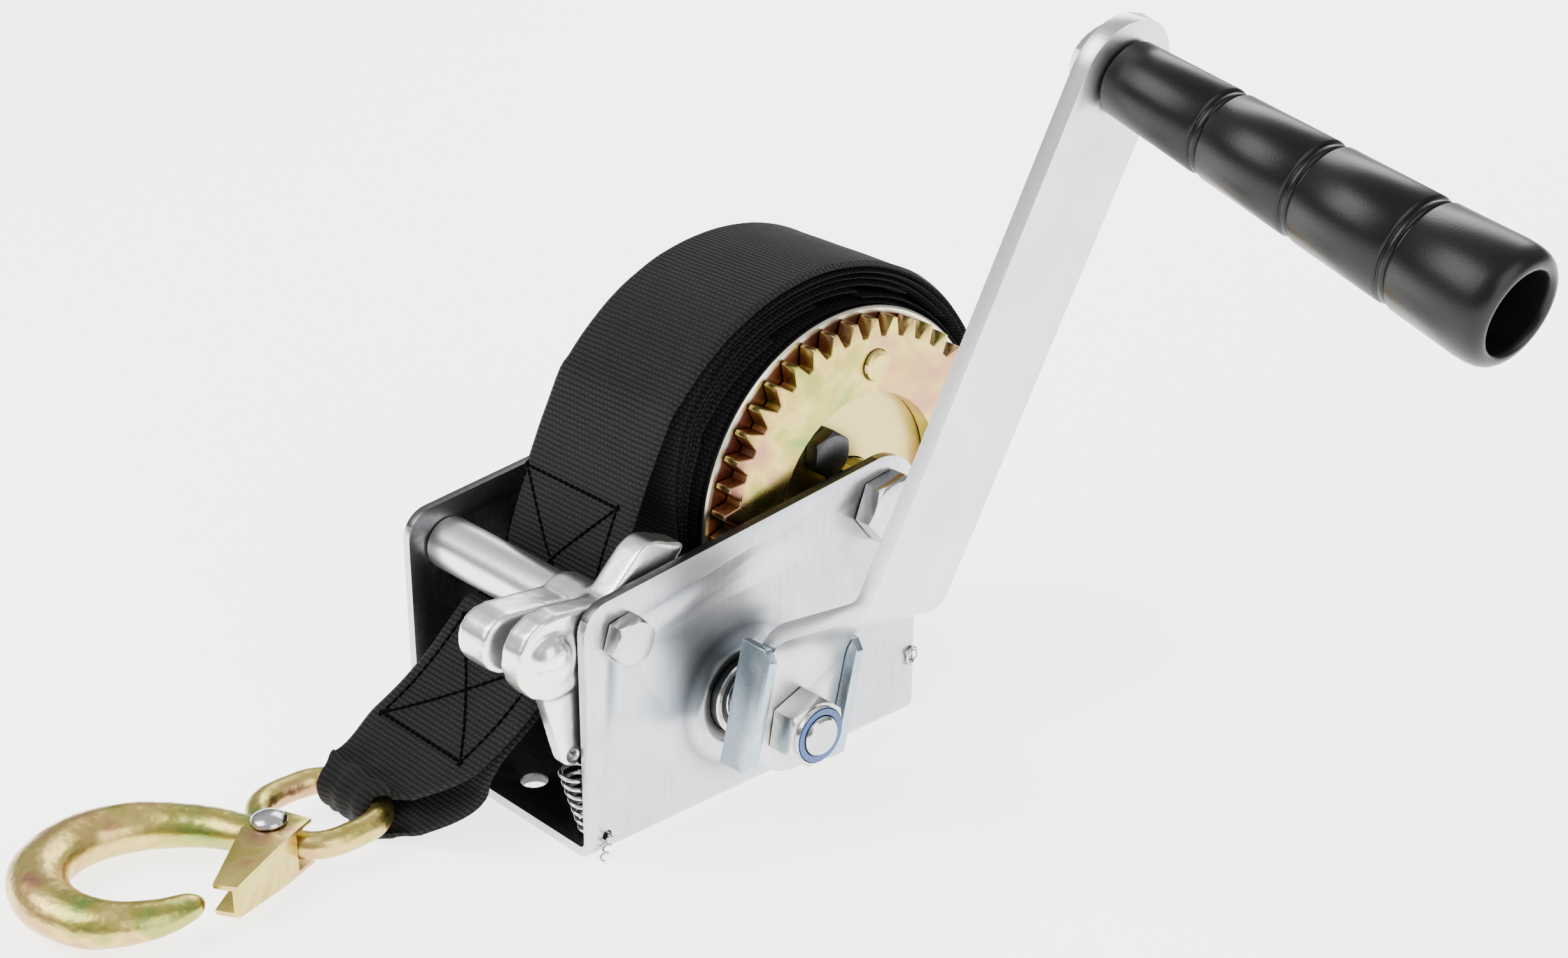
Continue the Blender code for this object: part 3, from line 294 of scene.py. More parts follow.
def copyNode(node, name, mat):
    # A welded copy of a CAD node with its flat faces whole again
    bm = bmesh.new()
    bm.from_mesh(nodes[node].data)
    bmesh.ops.remove_doubles(bm, verts=bm.verts, dist=0.00002)
    bmesh.ops.dissolve_limit(bm, angle_limit=math.radians(0.6), verts=bm.verts, edges=bm.edges)
    mesh = bpy.data.meshes.new(name)
    bm.to_mesh(mesh)
    bm.free()
    mesh.materials.clear()
    mesh.materials.append(mat)
    for face in mesh.polygons:
        face.material_index = 0
    piece = bpy.data.objects.new(name, mesh)
    bpy.context.scene.collection.objects.link(piece)
    return piece


def bevelled(node, name, mat, width, segments=2, angle=32):
    piece = copyNode(node, name, mat)
    bevel = piece.modifiers.new("edges", "BEVEL")
    bevel.width = width * mm
    bevel.segments = segments
    bevel.limit_method = "ANGLE"
    bevel.angle_limit = math.radians(angle)
    bevel.use_clamp_overlap = True
    settle(piece)
    piece.data.shade_smooth()
    piece.data.set_sharp_from_angle(angle=math.radians(30))
    return place(piece, bodyOf[node], node)


def melt(piece, voxel, rounds, rough, roughScale):
    # Rounds a piece's edges and gives it a lumpy skin, as a casting or forging has them
    remesh = piece.modifiers.new("skin", "REMESH")
    remesh.mode = "VOXEL"
    remesh.voxel_size = voxel * mm
    soft = piece.modifiers.new("soft", "SMOOTH")
    soft.factor = 0.5
    soft.iterations = rounds
    settle(piece)
    normals = [vert.normal.copy() for vert in piece.data.vertices]     # reading them while moving is slow
    for vert, normal in zip(piece.data.vertices, normals):
        lump = noise.noise(vert.co * roughScale) + 0.5 * noise.noise(vert.co * roughScale * 2.7)
        vert.co += normal * lump * rough * mm
    piece.data.shade_smooth()
    return piece


bevels = {
    "base_frame": ("sideFrame", zinc, 0.5), "drive_yoke": ("yoke", blueZinc, 0.6),
    "crank_arm": ("crankArm", brightZinc, 0.6), "crank_nut": ("crankNut", polished, 0.35),
    "drum_axle_bolt": ("axleBolt", polished, 0.4), "drum_axle_nut": ("axleNut", polished, 0.3),
    "pawl_bolt": ("pawlBolt", polished, 0.35), "pawl_nut": ("pawlNut", polished, 0.3),
    "strap_anchor_bolt": ("anchorBolt", darkSteel, 0.4), "drum_gear": ("gear", yellowZinc, 0.3),
    "pinion_gear": ("pinion", darkSteel, 0.3), "grip_bolt_nut": ("gripNut", polished, 0.35),
    "hook_latch": ("latch", yellowZinc, 0.5), "drive_shaft": ("driveShaft", polished, 0.25),
}


def shadeBoss(mat):
    # Paints shade into the plate's colour round the pressed boss and the bearing's hole
    tree = mat.node_tree
    socket = tree.nodes["Principled BSDF"].inputs["Base Color"]
    colour = socket.links[0].from_socket
    radius = radiusFrom(tree, shaft)
    scaled = addNode(tree, "ShaderNodeMapRange", {"Value": radius, "From Max": 0.03}).outputs[0]
    stops = [(0.42, (0.05, 0.05, 0.05)), (0.50, (0.3, 0.3, 0.3)), (0.52, (1, 1, 1)), (0.63, (1, 1, 1)),
             (0.72, (0.5, 0.5, 0.52)), (0.80, (0.8, 0.8, 0.8)), (0.95, (1, 1, 1))]
    shaded = addNode(tree, "ShaderNodeVectorMath", {0: colour, 1: ramp(tree, scaled, stops)},
                     operation="MULTIPLY")
    tree.links.new(shaded.outputs[0], socket)


shadeBoss(zinc)
softened = {}
for node, (name, mat, width) in bevels.items():
    softened[node] = bevelled(node, name, mat, width)


def paintInsideShade(piece):
    # Paints shade on the channel's inner faces by giving them a darker zinc material
    piece.data.materials.append(paintedShadeZinc)
    half = max(v.co.x for v in piece.data.vertices if v.co.z < 0.02)
    for face in piece.data.polygons:
        c, n = face.center, face.normal
        if (n.x * c.x < -1e-5 or n.z > 0.5) and abs(c.x) < half - 2.6 * mm and c.z < 0.085:
            face.material_index = 1


paintInsideShade(softened["base_frame"])


boss = {"front": 22.5, "radius": 6.4, "height": 4.2, "flat": 2.2}


def makePawl():
    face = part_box("pawl")[1][0] / mm
    centre = Vector((0, pivot.y - boss["front"] * mm, pivot.z))
    profile = [(face - 3, boss["radius"])]
    for k in range(7):
        a = turn / 4 * k / 6.2
        profile.append((face + boss["height"] * math.sin(a), boss["radius"] * math.cos(a)))
    dome = lathe("pawlBoss", profile, centre, (1, 0, 0), castZinc, 40, False)
    for vert in dome.data.vertices:
        vert.co.z = max(vert.co.z, centre.z - boss["flat"] * mm)      # the boss is flat underneath
    pawl = copyNode("pawl", "castPawl", castZinc)
    bm = bmesh.new()
    bm.from_mesh(pawl.data)
    bm.from_mesh(dome.data)
    bm.to_mesh(pawl.data)
    bm.free()
    bpy.data.objects.remove(dome, do_unlink=True)
    place(melt(pawl, 0.6, 22, 0.05, 260.0), bodyOf["pawl"], "pawl")


makePawl()
print("metal pieces made")

hook = {
    "eyeHalf": (16.5, 15.0), "eyeWire": 4.0, "flatten": 0.86,
    "line": [(2.0, -13.5), (-3.0, -20.5), (-16.0, -28.5), (-28.0, -42.0), (-32.0, -57.5), (-25.0, -73.0),
             (-9.0, -79.0), (7.0, -74.5), (15.5, -62.5), (17.0, -52.5), (16.5, -47.5)],
    "widths": [5.6, 5.8, 6.6, 7.8, 8.4, 8.6, 8.2, 7.4, 6.0, 4.4, 3.0],
}


def tubeRows(points, radii, flatten, closed, around=24):
    # Vertices and faces of a flat-lying tube through points, in metres
    verts, faces = [], []
    count = len(points)
    for i, here in enumerate(points):
        before = points[i - 1] if closed or i else here
        after = points[(i + 1) % count] if closed or i < count - 1 else here
        side = (after - before).normalized().cross(Vector((0, 0, 1)))
        for k in range(around):
            a = turn * k / around
            verts.append(here + (side * math.cos(a) + Vector((0, 0, flatten * math.sin(a)))) * radii[i])
    for i in range(count if closed else count - 1):
        j = (i + 1) % count
        for k in range(around):
            n = (k + 1) % around
            faces.append((i * around + k, i * around + n, j * around + n, j * around + k))
    if not closed:
        faces += [tuple(reversed(range(around))), tuple((count - 1) * around + k for k in range(around))]
    return verts, faces


def makeHook():
    centre = wire - Vector((0, hook["eyeHalf"][1], 0)) * mm
    eye = []
    for k in range(96):
        c, n = math.cos(turn * k / 96), math.sin(turn * k / 96)
        x = hook["eyeHalf"][0] * math.copysign(abs(c) ** 0.72, c)
        y = hook["eyeHalf"][1] * math.copysign(abs(n) ** 0.72, n)
        eye.append(centre + Vector((x, y, 0)) * mm)
    verts, faces = tubeRows(eye, [hook["eyeWire"] * mm] * 96, 1.0, True)
    marks = [Vector(p) for p in hook["line"]]
    flat = smoothLine(marks, 1.2)
    spans = [max(1, round((b - a).length / 1.2)) for a, b in zip(marks, marks[1:])]
    radii = []
    for (a, b), span in zip(zip(hook["widths"], hook["widths"][1:]), spans):
        radii += [a + (b - a) * k / span for k in range(span)]
    radii.append(hook["widths"][-1])
    for k, share in enumerate((0.45, 0.75, 0.92)):     # the tip is blunt and round
        radii[-1 - k] *= share
    points = [centre + Vector((p.x, p.y, 0)) * mm for p in flat]
    more, moreFaces = tubeRows(points, [r * mm for r in radii], hook["flatten"], False)
    base = len(verts)
    verts += more
    faces += [tuple(base + k for k in face) for face in moreFaces]
    piece = newPiece("forgedHook", verts, faces, forged)
    outwards(piece)
    melt(piece, 0.5, 10, 0.16, 150.0)
    place(piece, "hook", "hook_body")


strap = {"half": 25.0, "coil": 59.5, "play": 0.4, "swell": 17.5, "under": 12.1, "loop": 7.1,
         "pitch": 1.87, "bore": 24.2}


def onCircle(radius, degrees):
    a = math.radians(degrees)
    return Vector((axle.y / mm + radius * math.cos(a), axle.z / mm + radius * math.sin(a)))


def looseRadius(degrees):
    # Radius of the loose outer turn's middle: it stands off the coil more and more towards the front
    t = (degrees + 40) / 200
    return strap["coil"] + 1.2 + strap["play"] + strap["swell"] * max(0.0, (t - 0.12) / 0.88) ** 1.5


def smoothLine(points, step=1.5):
    # A Catmull-Rom line through (y, z) points, sampled about every step mm
    p = [2 * points[0] - points[1]] + list(points) + [2 * points[-1] - points[-2]]
    line = []
    for a, b, c, d in zip(p, p[1:], p[2:], p[3:]):
        count = max(1, round((c - b).length / step))
        for k in range(count):
            t = k / count
            line.append(b + 0.5 * ((c - a) * t + (2 * a - 5 * b + 4 * c - d) * t * t
                                   + (3 * b - a - 3 * c + d) * t ** 3))
    line.append(points[-1])
    return line


def strapMiddle():
    # From behind the coil, over it, under the tube, round the hook's eye and back under itself
    centre = Vector((pivot.y, pivot.z)) / mm
    ring = Vector((wire.y, wire.z)) / mm
    points = [onCircle(looseRadius(d), d) for d in range(-40, 160, 8)]
    points.append(centre + Vector((12.5, 8.0)))
    for k in range(7):
        a = math.radians(-20 - 92 * k / 6)
        points.append(centre + Vector((math.cos(a), math.sin(a))) * strap["under"])
    near = points[-1]
    end = ring + Vector((0.35, 0.94)).normalized() * strap["loop"]
    points += [near.lerp(end, t) for t in (0.3, 0.6)]
    for k in range(9):
        a = math.radians(70 + 190 * k / 8)
        points.append(ring + Vector((math.cos(a), math.sin(a))) * strap["loop"])
    down = (end - near).normalized()
    under = Vector((-down.y, down.x))
    for t, gap in ((0.15, 8.0), (0.28, 4.6), (0.42, 2.5), (0.65, 2.3), (0.86, 2.3)):
        points.append(end.lerp(near, t) + under * gap)
    return smoothLine(points)


def gatherAt(y):
    # How far the strap is drawn together (0 to 1) at y, and how far it has drifted sideways
    reach = (pivot.y - wire.y) / mm
    t = min(max((pivot.y / mm - y) / reach, 0), 1)
    g = min(max((t - 0.7) / 0.3, 0), 1)
    return g * g * (3 - 2 * g), wire.x / mm * t ** 3


def bandRows(line, edges, folds, seed, thickness=1.8, across=28, start=0.0):
    # Vertices, faces and UVs of one closed band along a (y, z) line; edges gives (left, right) at each point
    verts, faces, uvs = [], [], []
    count = len(line)
    length = start
    loop = 2 * (across + 1)
    for i, here in enumerate(line):
        before, after = line[max(i - 1, 0)], line[min(i + 1, count - 1)]
        d = (after - before).normalized()
        out = Vector((0, d.y, -d.x))
        if i:
            length += (here - line[i - 1]).length
        left, right = edges(i, here)
        wave = folds(i, here)
        for face in (1, -1):
            for k in range(across + 1):
                u = k / across if face > 0 else 1 - k / across
                v = 2 * u - 1
                thin = 0.5 * thickness * math.sqrt(max(1 - abs(v) ** 26, 0.0)) + 0.08
                rolled = 0.22 * math.exp(-((abs(v) - 0.95) / 0.03) ** 2)
                uneven = 0.12 * noise.noise(Vector((length / 9, v * 2, seed)))
                lift = wave * math.sin(turn * 2.5 * u + 0.9) + uneven
                middle = Vector((left + (right - left) * u, here.x, here.y)) + out * lift
                verts.append((middle + out * face * (thin + rolled)) * mm)
                uvs.append(((v * strap["half"]) * mm, length * mm))
    for i in range(count - 1):
        for k in range(loop):
            n = (k + 1) % loop
            faces.append((i * loop + k, i * loop + n, (i + 1) * loop + n, (i + 1) * loop + k))
    for base in (0, (count - 1) * loop):
        for k in range(across):
            quad = (base + k, base + k + 1, base + loop - 2 - k, base + loop - 1 - k)
            faces.append(quad if base else tuple(reversed(quad)))
    return verts, faces, uvs, length - start


def makeStrap():
    line = strapMiddle()
    lowest = min(range(len(line)), key=lambda i: line[i].x)
    inside = wire.y / mm + 2.0

    def edges(i, here):
        g, drift = gatherAt(here.x)
        squeeze = min(max((inside - here.x) / 6.0, 0), 1)      # inside the eye it is narrower still
        half = strap["half"] * (1 - 0.28 * g) * (1 - 0.36 * squeeze)
        wobble = 0.35 * noise.noise(Vector((i / 14, 0, 3)))
        drift += 3.0 * g * (1 - squeeze) if i > lowest else 0.0
        return drift - half + wobble, drift + half + wobble

    def folds(i, here):
        return 0.5 * gatherAt(here.x)[0]

    verts, faces, uvs, length = bandRows(line, edges, folds, 0.0)
    piece = newPiece("freeStrap", verts, faces, webbing, 50, uvs)
    outwards(piece)
    place(piece, "frame", "strap_tail")
    print("free strap", round(length), "mm")
    return line


def makeLooseTurns():
    # The slack turns under the outermost one. They stand off the coil at the front
    verts, faces, uvs = [], [], []
    for k in range(1, 7):
        line = []
        for step in range(-40 * 2, 212 * 2, 5):
            degrees = step / 2
            back = 0.5 + 0.5 * math.cos(math.pi * min(max((degrees - 128) / 74, 0), 1))
            inner = strap["coil"] + 1.3
            radius = inner + (looseRadius(min(degrees, 150)) - strap["coil"] - 1.3 - 1.95 * k) * back
            if degrees > 150:
                radius -= 0.25 * k * back
            if radius > strap["coil"] + 1.2:
                line.append(onCircle(radius, degrees))
        if len(line) < 8:
            continue
        shift = 0.5 * math.sin(k * 2.3)

        def edges(i, here, shift=shift, k=k):
            wobble = shift + 0.35 * noise.noise(Vector((i / 9, k * 3.1, 1)))
            return -strap["half"] + wobble, strap["half"] + wobble

        v, f, t, length = bandRows(line, edges, lambda i, here: 0.0, k, 1.75, 14, k * 131.0)
        base = len(verts)
        verts += v
        faces += [tuple(base + q for q in face) for face in f]
        uvs += t
    piece = newPiece("slackTurns", verts, faces, webbing, 50, uvs)
    outwards(piece)
    place(piece, "frame", slot="webbing")


def makeCoil():
    # All the wound turns as one spiral band
    turns = (strap["coil"] - 0.9 - strap["bore"]) / strap["pitch"]
    count = int(turns * 60)
    line = [onCircle(strap["bore"] + strap["pitch"] * turns * i / count, 360 * turns * i / count - 60)
            for i in range(count + 1)]

    def edges(i, here):
        lap = i // 60
        wobble = 0.3 * math.sin(lap * 2.1) + 0.25 * noise.noise(Vector((i / 12, 7, 2)))
        return -strap["half"] + 0.2 + wobble, strap["half"] - 0.2 + wobble

    verts, faces, uvs, length = bandRows(line, edges, lambda i, here: 0.0, 9.0, 1.75, 8)
    piece = newPiece("woundStrap", verts, faces, webbing, 50, uvs)
    outwards(piece)
    place(piece, "drum", "strap_coil")
    print("wound strap", round(length), "mm")


makeHook()
route = makeStrap()
makeLooseTurns()
makeCoil()


stitch = {"pitch": 2.5 * mm, "length": 2.7 * mm, "width": 1.1 * mm}


def geometryTree(name, inputs):
    tree = bpy.data.node_groups.new(name, "GeometryNodeTree")
    tree.interface.new_socket("Geometry", in_out="OUTPUT", socket_type="NodeSocketGeometry")
    tree.interface.new_socket("Geometry", in_out="INPUT", socket_type="NodeSocketGeometry")
    ids = {}
    for label in inputs:
        socket = tree.interface.new_socket(label, in_out="INPUT", socket_type="NodeSocketFloat")
        ids[label] = socket.identifier
    return tree, tree.nodes.new("NodeGroupInput"), tree.nodes.new("NodeGroupOutput"), ids


def runTree(piece, tree, ids, values):
    modifier = piece.modifiers.new("nodes", "NODES")
    modifier.node_group = tree
    for label, value in values.items():
        modifier[ids[label]] = value
    settle(piece)
    piece.data.shade_smooth()
    return piece


def stitchTree():
    tree, given, result, ids = geometryTree("stitches", ["Pitch", "Length", "Width"])
    curve = addNode(tree, "GeometryNodeMeshToCurve", {"Mesh": given.outputs["Geometry"]})
    points = addNode(tree, "GeometryNodeCurveToPoints",
                     {"Curve": curve.outputs[0], "Length": given.outputs["Pitch"]}, mode="LENGTH")
    bead = addNode(tree, "GeometryNodeMeshUVSphere", {"Segments": 8, "Rings": 6, "Radius": 0.5})
    size = addNode(tree, "ShaderNodeCombineXYZ", {0: given.outputs["Width"], 1: given.outputs["Width"],
                                                  2: given.outputs["Length"]})
    laid = addNode(tree, "GeometryNodeInstanceOnPoints",
                   {"Points": points.outputs["Points"], "Instance": bead.outputs[0],
                    "Rotation": points.outputs["Rotation"], "Scale": size.outputs[0]})
    real = addNode(tree, "GeometryNodeRealizeInstances", {0: laid.outputs[0]})
    coloured = addNode(tree, "GeometryNodeSetMaterial", {"Geometry": real.outputs[0], "Material": thread})
    tree.links.new(coloured.outputs[0], result.inputs[0])
    return tree, ids


def onStrap(s, across, lift=0.95):
    # A point on the free strap's outer face: s in mm along it, across from -1 to 1
    length = 0.0
    for i in range(1, len(route)):
        span = (route[i] - route[i - 1]).length
        if length + span >= s:
            break
        length += span
    here = route[i - 1].lerp(route[i], (s - length) / span)
    d = (route[i] - route[i - 1]).normalized()
    g, drift = gatherAt(here.x)
    half = strap["half"] * (1 - 0.28 * g)
    fold = 0.5 * g * math.sin(turn * 2.5 * (across + 1) / 2 + 0.9)
    return Vector((drift + across * half, here.x + d.y * (lift + fold), here.y - d.x * (lift + fold))) * mm


def lengthAt(test):
    length = 0.0
    for i in range(1, len(route)):
        length += (route[i] - route[i - 1]).length
        if test(route[i]):
            return length
    return length


def makeStitches():
    # Two sewn boxes with crossed diagonals: one above the tube and one below it
    top = lengthAt(lambda p: p.x < -20 and p.y < 90.6)
    low = lengthAt(lambda p: p.x < -56 and p.y < 52)
    verts, edges = [], []
    for s0, s1, a0, a1 in ((top, top + 44, -0.94, 0.70), (low, low + 36, -0.80, 0.72)):
        corners = [(s0, a0), (s0, a1), (s1, a1), (s1, a0)]
        lines = list(zip(corners, corners[1:] + corners[:1]))
        lines += [(corners[0], corners[2]), (corners[1], corners[3])]
        for (sa, aa), (sb, ab) in lines:
            base = len(verts)
            for k in range(13):
                t = k / 12
                verts.append(onStrap(sa + (sb - sa) * t, aa + (ab - aa) * t))
            edges += [(base + k, base + k + 1) for k in range(12)]
    mesh = bpy.data.meshes.new("seamLines")
    mesh.from_pydata([tuple(v) for v in verts], edges, [])
    piece = bpy.data.objects.new("stitches", mesh)
    bpy.context.scene.collection.objects.link(piece)
    tree, ids = stitchTree()
    runTree(piece, tree, ids, {"Pitch": stitch["pitch"], "Length": stitch["length"],
                               "Width": stitch["width"]})
    place(piece, "frame", slot="webbing")


makeStitches()
print("webbing made")


def makeTurned():
    xAxis = (1, 0, 0)
    at = Vector((0, axle.y, axle.z))
    for node, name in (("drum_left_flange", "leftFlange"), ("drum_right_flange", "rightFlange")):
        low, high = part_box(node)
        x0, x1 = low[0] / mm, high[0] / mm
        outer = (high[1] - low[1]) / 2 / mm
        profile = [(x0, 10.3), (x0, outer - 0.6), (x0 + 0.5, outer),
                   (x1 - 0.5, outer), (x1, outer - 0.6), (x1, 10.3)]
        place(lathe(name, profile, at, xAxis, flangeZinc, 128), "drum", node)
    low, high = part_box("front_tube")
    x0, x1 = low[0] / mm, high[0] / mm
    profile = [(x0, 6), (x0, 7.5), (x0 + 0.5, 8), (x1 - 0.5, 8), (x1, 7.5), (x1, 6)]
    tube = lathe("frontTube", profile, Vector((0, pivot.y, pivot.z)), xAxis, castZinc, 64)
    place(tube, "frame", "front_tube")
    low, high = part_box("shaft_bearing_right")
    x0, x1 = low[0] / mm, high[0] / mm
    centre = Vector((0, shaft.y, shaft.z))
    outerRace = [(x0, 9.9), (x0, 11.4), (x0 + 0.4, 11.8), (x1 - 0.5, 11.8), (x1, 11.3), (x1, 10.2),
                 (x1 - 0.3, 9.9)]
    seal = [(x0 + 0.4, 8.1), (x0 + 0.4, 9.9), (x1 - 0.8, 9.9), (x1 - 0.6, 9.0), (x1 - 0.8, 8.1)]
    innerRace = [(x0, 6.3), (x0, 8.1), (x1 - 0.3, 8.1), (x1, 7.8), (x1, 6.6), (x1 - 0.3, 6.3)]
    race = lathe("bearingRaces", outerRace, centre, xAxis, polished, 64)
    inner = lathe("bearingInner", innerRace, centre, xAxis, polished, 48)
    dark = lathe("bearingSeal", seal, centre, xAxis, rubber, 64)
    place(race, "frame", "shaft_bearing_right")
    place(inner, "frame", slot="zinc_plate")
    place(dark, "frame", slot="dark_steel")


def makeFlangeZinc():
    # Silvery at the rim, brown between the gear's teeth, where the brown is darkened further as painted
    # shade
    mat, tree, shader = startMaterial("flangeZinc", (0.7, 0.6, 0.4), 0.3, 1.0)
    coords = stretched(tree, (1, 1, 1))
    radius = radiusFrom(tree, axle)
    share = addNode(tree, "ShaderNodeMapRange",
                    {"Value": radius, "From Min": 0.030, "From Max": 0.0565}).outputs[0]
    stops = [(0.0, (0.52, 0.43, 0.16)), (0.45, (0.40, 0.28, 0.10)), (0.78, (0.10, 0.035, 0.02)),
             (0.92, (0.13, 0.06, 0.045)), (0.96, (0.66, 0.62, 0.52))]
    tree.links.new(ramp(tree, share, stops), shader.inputs["Base Color"])
    grain = noiseAt(tree, coords, 900.0)
    tree.links.new(remap(tree, grain, 0.38, 0.24), shader.inputs["Roughness"])
    return mat


flangeZinc = makeFlangeZinc()
makeTurned()
print("drum and bearing made")


grip = {"start": 0.5, "length": 122.0, "base": 10.0, "end": 15.0, "mouth": 25.0, "bore": 5.5, "barrels": 4}


def makeGrip():
    start, end = grip["start"], grip["start"] + grip["length"]

    def radius(x):
        return grip["base"] + (grip["end"] - grip["base"]) * (x - start) / grip["length"]

    points = [(start, grip["bore"]), (start, radius(start) - 1.2), (start + 0.4, radius(start) - 0.4),
              (start + 1.2, radius(start))]
    for k in range(1, grip["barrels"]):
        x = start + grip["length"] * k / grip["barrels"] + 2.0
        r = radius(x)
        points += [(x - 2.1, r - 0.05), (x - 1.7, r - 0.35), (x - 1.35, r - 0.95), (x - 1.0, r - 1.0),
                   (x - 0.7, r - 0.6), (x - 0.3, r - 0.45), (x + 0.3, r - 0.45), (x + 0.7, r - 0.6),
                   (x + 1.0, r - 1.0), (x + 1.35, r - 0.95), (x + 1.7, r - 0.35), (x + 2.1, r + 0.05)]
    r = radius(end)
    points += [(end - 8, r), (end - 5, r - 0.05), (end - 3, r - 0.35), (end - 1.6, r - 0.95),
               (end - 0.6, r - 1.9), (end - 0.1, r - 2.9), (end, r - 3.5), (end - 0.2, r - 4.1),
               (end - 0.8, r - 4.5), (end - 2, r - 4.7)]
    floor = end - grip["mouth"]
    points += [(floor + 1, r - 5.2), (floor, r - 5.8), (floor, grip["bore"])]
    piece = lathe("gripSleeve", points, gripPlace, gripAxis, plastic, 96, True, 50)
    place(piece, "grip", "grip_sleeve")


makeGrip()
print("grip made")


spring = {"turns": 7.0, "radius": 3.6 * mm, "wire": 0.72 * mm}


def makeSpring():
    low, high = (Vector(v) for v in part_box("pawl_spring"))
    tree, given, result, ids = geometryTree("coil", ["Turns", "Radius", "Wire", "Height"])
    spiral = addNode(tree, "GeometryNodeCurveSpiral", {"Resolution": 28, "Rotations": given.outputs["Turns"],
                                                       "Start Radius": given.outputs["Radius"],
                                                       "End Radius": given.outputs["Radius"],
                                                       "Height": given.outputs["Height"]})
    section = addNode(tree, "GeometryNodeCurvePrimitiveCircle",
                      {"Resolution": 10, "Radius": given.outputs["Wire"]})
    tube = addNode(tree, "GeometryNodeCurveToMesh",
                   {"Curve": spiral.outputs[0], "Profile Curve": section.outputs[0], "Fill Caps": True})
    coloured = addNode(tree, "GeometryNodeSetMaterial", {"Geometry": tube.outputs[0], "Material": polished})
    tree.links.new(coloured.outputs[0], result.inputs[0])
    mesh = bpy.data.meshes.new("spring")
    piece = bpy.data.objects.new("pawlSpring", mesh)
    bpy.context.scene.collection.objects.link(piece)
    height = high.z - low.z - 2 * spring["wire"]
    runTree(piece, tree, ids, {"Turns": spring["turns"], "Radius": spring["radius"], "Wire": spring["wire"],
                               "Height": height})
    lean = (high.y - low.y) - 2 * (spring["radius"] + spring["wire"])
    middle = (low + high) / 2
    for vert in piece.data.vertices:
        t = vert.co.z / height
        vert.co += Vector((middle.x, middle.y + lean * (0.5 - t), low.z + spring["wire"]))
    outwards(piece)
    place(piece, "frame", "pawl_spring")


makeSpring()


def makeRivet():
    low, high = (Vector(v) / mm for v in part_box("hook_rivet"))
    middle = (low + high) / 2 * mm
    profile = [(low.z, 1.6), (low.z, 2.5), (high.z - 2.6, 2.5), (high.z - 2.6, 5.0), (high.z - 2.3, 5.2),
               (high.z - 1.6, 5.0), (high.z - 0.8, 4.0), (high.z - 0.25, 2.4), (high.z, 0.8)]
    piece = lathe("latchRivet", profile, Vector((middle.x, middle.y, 0)), (0, 0, 1), polished, 48, False, 50)
    place(piece, "hook", "hook_rivet")


def wirePiece(name, points, radius):
    # Thin round wire through points in mm
    data = bpy.data.curves.new(name, "CURVE")
    data.dimensions = "3D"
    data.bevel_depth = radius * mm
    data.bevel_resolution = 3
    data.use_fill_caps = True
    line = data.splines.new("POLY")
    line.points.add(len(points) - 1)
    for point, here in zip(line.points, points):
        point.co = (*(Vector(here) * mm), 1)
    curve = bpy.data.objects.new(name + "Curve", data)
    bpy.context.scene.collection.objects.link(curve)
    graph = bpy.context.evaluated_depsgraph_get()
    mesh = bpy.data.meshes.new_from_object(curve.evaluated_get(graph))
    bpy.data.objects.remove(curve, do_unlink=True)
    mesh.materials.clear()
    mesh.materials.append(polished)
    mesh.shade_smooth()
    piece = bpy.data.objects.new(name, mesh)
    bpy.context.scene.collection.objects.link(piece)
    place(piece, "frame", slot="zinc_plate")


wireEnds = {"wire": 0.36, "hole": (42.0, 6.0, 6.5), "rear": (42.6, 1.0, 21.0), "drop": 9.0}


def makeWireEnds():
    # The spring's twisted end through the plate's small hole, and a curl of wire at the rear edge
    low, high = (Vector(v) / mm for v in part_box("base_frame"))
    side, inward, height = wireEnds["hole"]
    hole = Vector((side, low.y + inward, height))
    twist = []
    for k in range(49):
        a = turn * k / 16
        drop = wireEnds["drop"] * k / 48
        twist.append(hole + Vector((1.4 + 0.9 * math.cos(a), 0.9 * math.sin(a) - 0.06 * k,
                                    0.4 - drop * 0.75)))
    start = [hole + Vector((-2.5, 0, 0)), hole + Vector((0, 0, 0.2))]
    wirePiece("springEnd", start + twist, wireEnds["wire"])
    side, inward, height = wireEnds["rear"]
    rear = Vector((side, high.y - inward, height))
    curl = []
    for k in range(36):
        a = turn * k / 20
        curl.append(rear + Vector((0.3 * math.sin(k), 1.9 * math.cos(a), 2.3 * math.sin(a) - 0.05 * k)))
    wirePiece("rearCurl", curl, wireEnds["wire"])


makeRivet()
makeWireEnds()
print("spring, rivet and wire ends made")

for node, solid in nodes.items():
    for slot in solid.material_slots:
        slot.material = bySlot.get(slotOf.get(node), polished)


def areaLight(name, place, target, size, power):
    data = bpy.data.lights.new(name, "AREA")
    data.shape = "RECTANGLE"
    data.size, data.size_y = size
    data.energy = power
    lamp = bpy.data.objects.new(name, data)
    lamp.location = place
    lamp.rotation_euler = (Vector(target) - Vector(place)).to_track_quat("-Z", "Y").to_euler()
    bpy.context.scene.collection.objects.link(lamp)


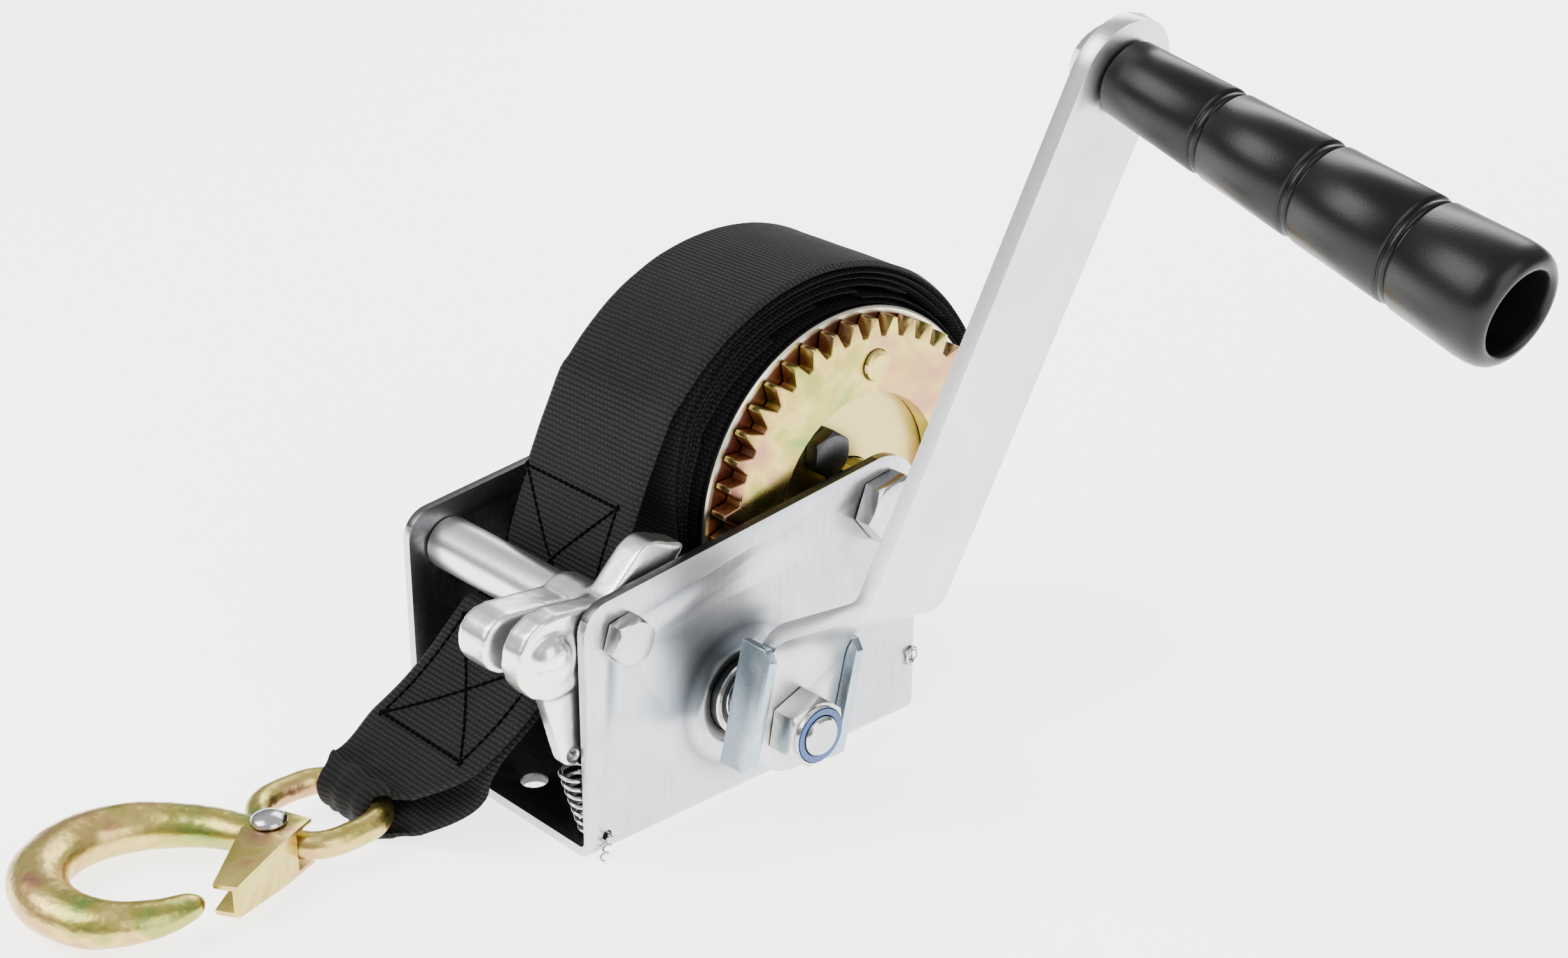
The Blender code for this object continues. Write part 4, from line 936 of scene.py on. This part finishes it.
studio = {
    "floorSize": 4.0, "floorGlow": 2.8, "skyStrength": 0.9, "target": (0.03, -0.02, 0.09),
    "sky": [(0.0, (0.9, 0.9, 0.9)), (0.12, (0.16, 0.16, 0.17)), (0.45, (0.75, 0.76, 0.78)),
            (0.9, (1, 1, 1))],
    "lights": {"keyLight": ((-0.5, -0.9, 1.2), (1.0, 1.0), 30),     # place, size and power
               "sideLight": ((1.3, -0.1, 0.7), (0.9, 1.2), 16),
               "backLight": ((-0.6, 1.1, 0.9), (1.2, 0.7), 18)},
}


def makeStudio():
    mat, _, shader = startMaterial("floorPaper", (0.95, 0.95, 0.95), 0.9)
    shader.inputs["Emission Color"].default_value = (1, 1, 1, 1)
    shader.inputs["Emission Strength"].default_value = studio["floorGlow"]
    s = studio["floorSize"]
    floor = newPiece("floor", [(-s, -s, 0), (s, -s, 0), (s, s, 0), (-s, s, 0)], [(0, 1, 2, 3)], mat)
    world = bpy.data.worlds.new("studio")
    world.use_nodes = True
    tree = world.node_tree
    back = tree.nodes["Background"]
    coords = addNode(tree, "ShaderNodeTexCoord").outputs["Generated"]
    height = addNode(tree, "ShaderNodeSeparateXYZ", {0: coords}).outputs[2]
    tree.links.new(ramp(tree, height, studio["sky"]), back.inputs["Color"])
    back.inputs["Strength"].default_value = studio["skyStrength"]
    bpy.context.scene.world = world
    for name, (place, size, power) in studio["lights"].items():
        areaLight(name, place, studio["target"], size, power)


lookout = {"place": (0.5284, -0.44, 0.3951), "ahead": (-0.67079, 0.61979, -0.40731),
           "up": (-0.30144, 0.27394, 0.91329), "lens": 59.14, "shiftY": -0.0085}


def makeCamera():
    data = bpy.data.cameras.new("camera")
    data.lens = lookout["lens"]
    data.sensor_width = 36.0
    data.clip_start = 0.05
    data.shift_y = lookout["shiftY"]
    camera = bpy.data.objects.new("camera", data)
    ahead = Vector(lookout["ahead"])
    up = Vector(lookout["up"])
    right = ahead.cross(up).normalized()
    up = right.cross(ahead).normalized()
    turned = Matrix((right, up, -ahead)).transposed().to_4x4()
    camera.matrix_world = Matrix.Translation(lookout["place"]) @ turned
    bpy.context.scene.collection.objects.link(camera)
    bpy.context.scene.camera = camera


makeStudio()
makeCamera()
print("studio and camera made")
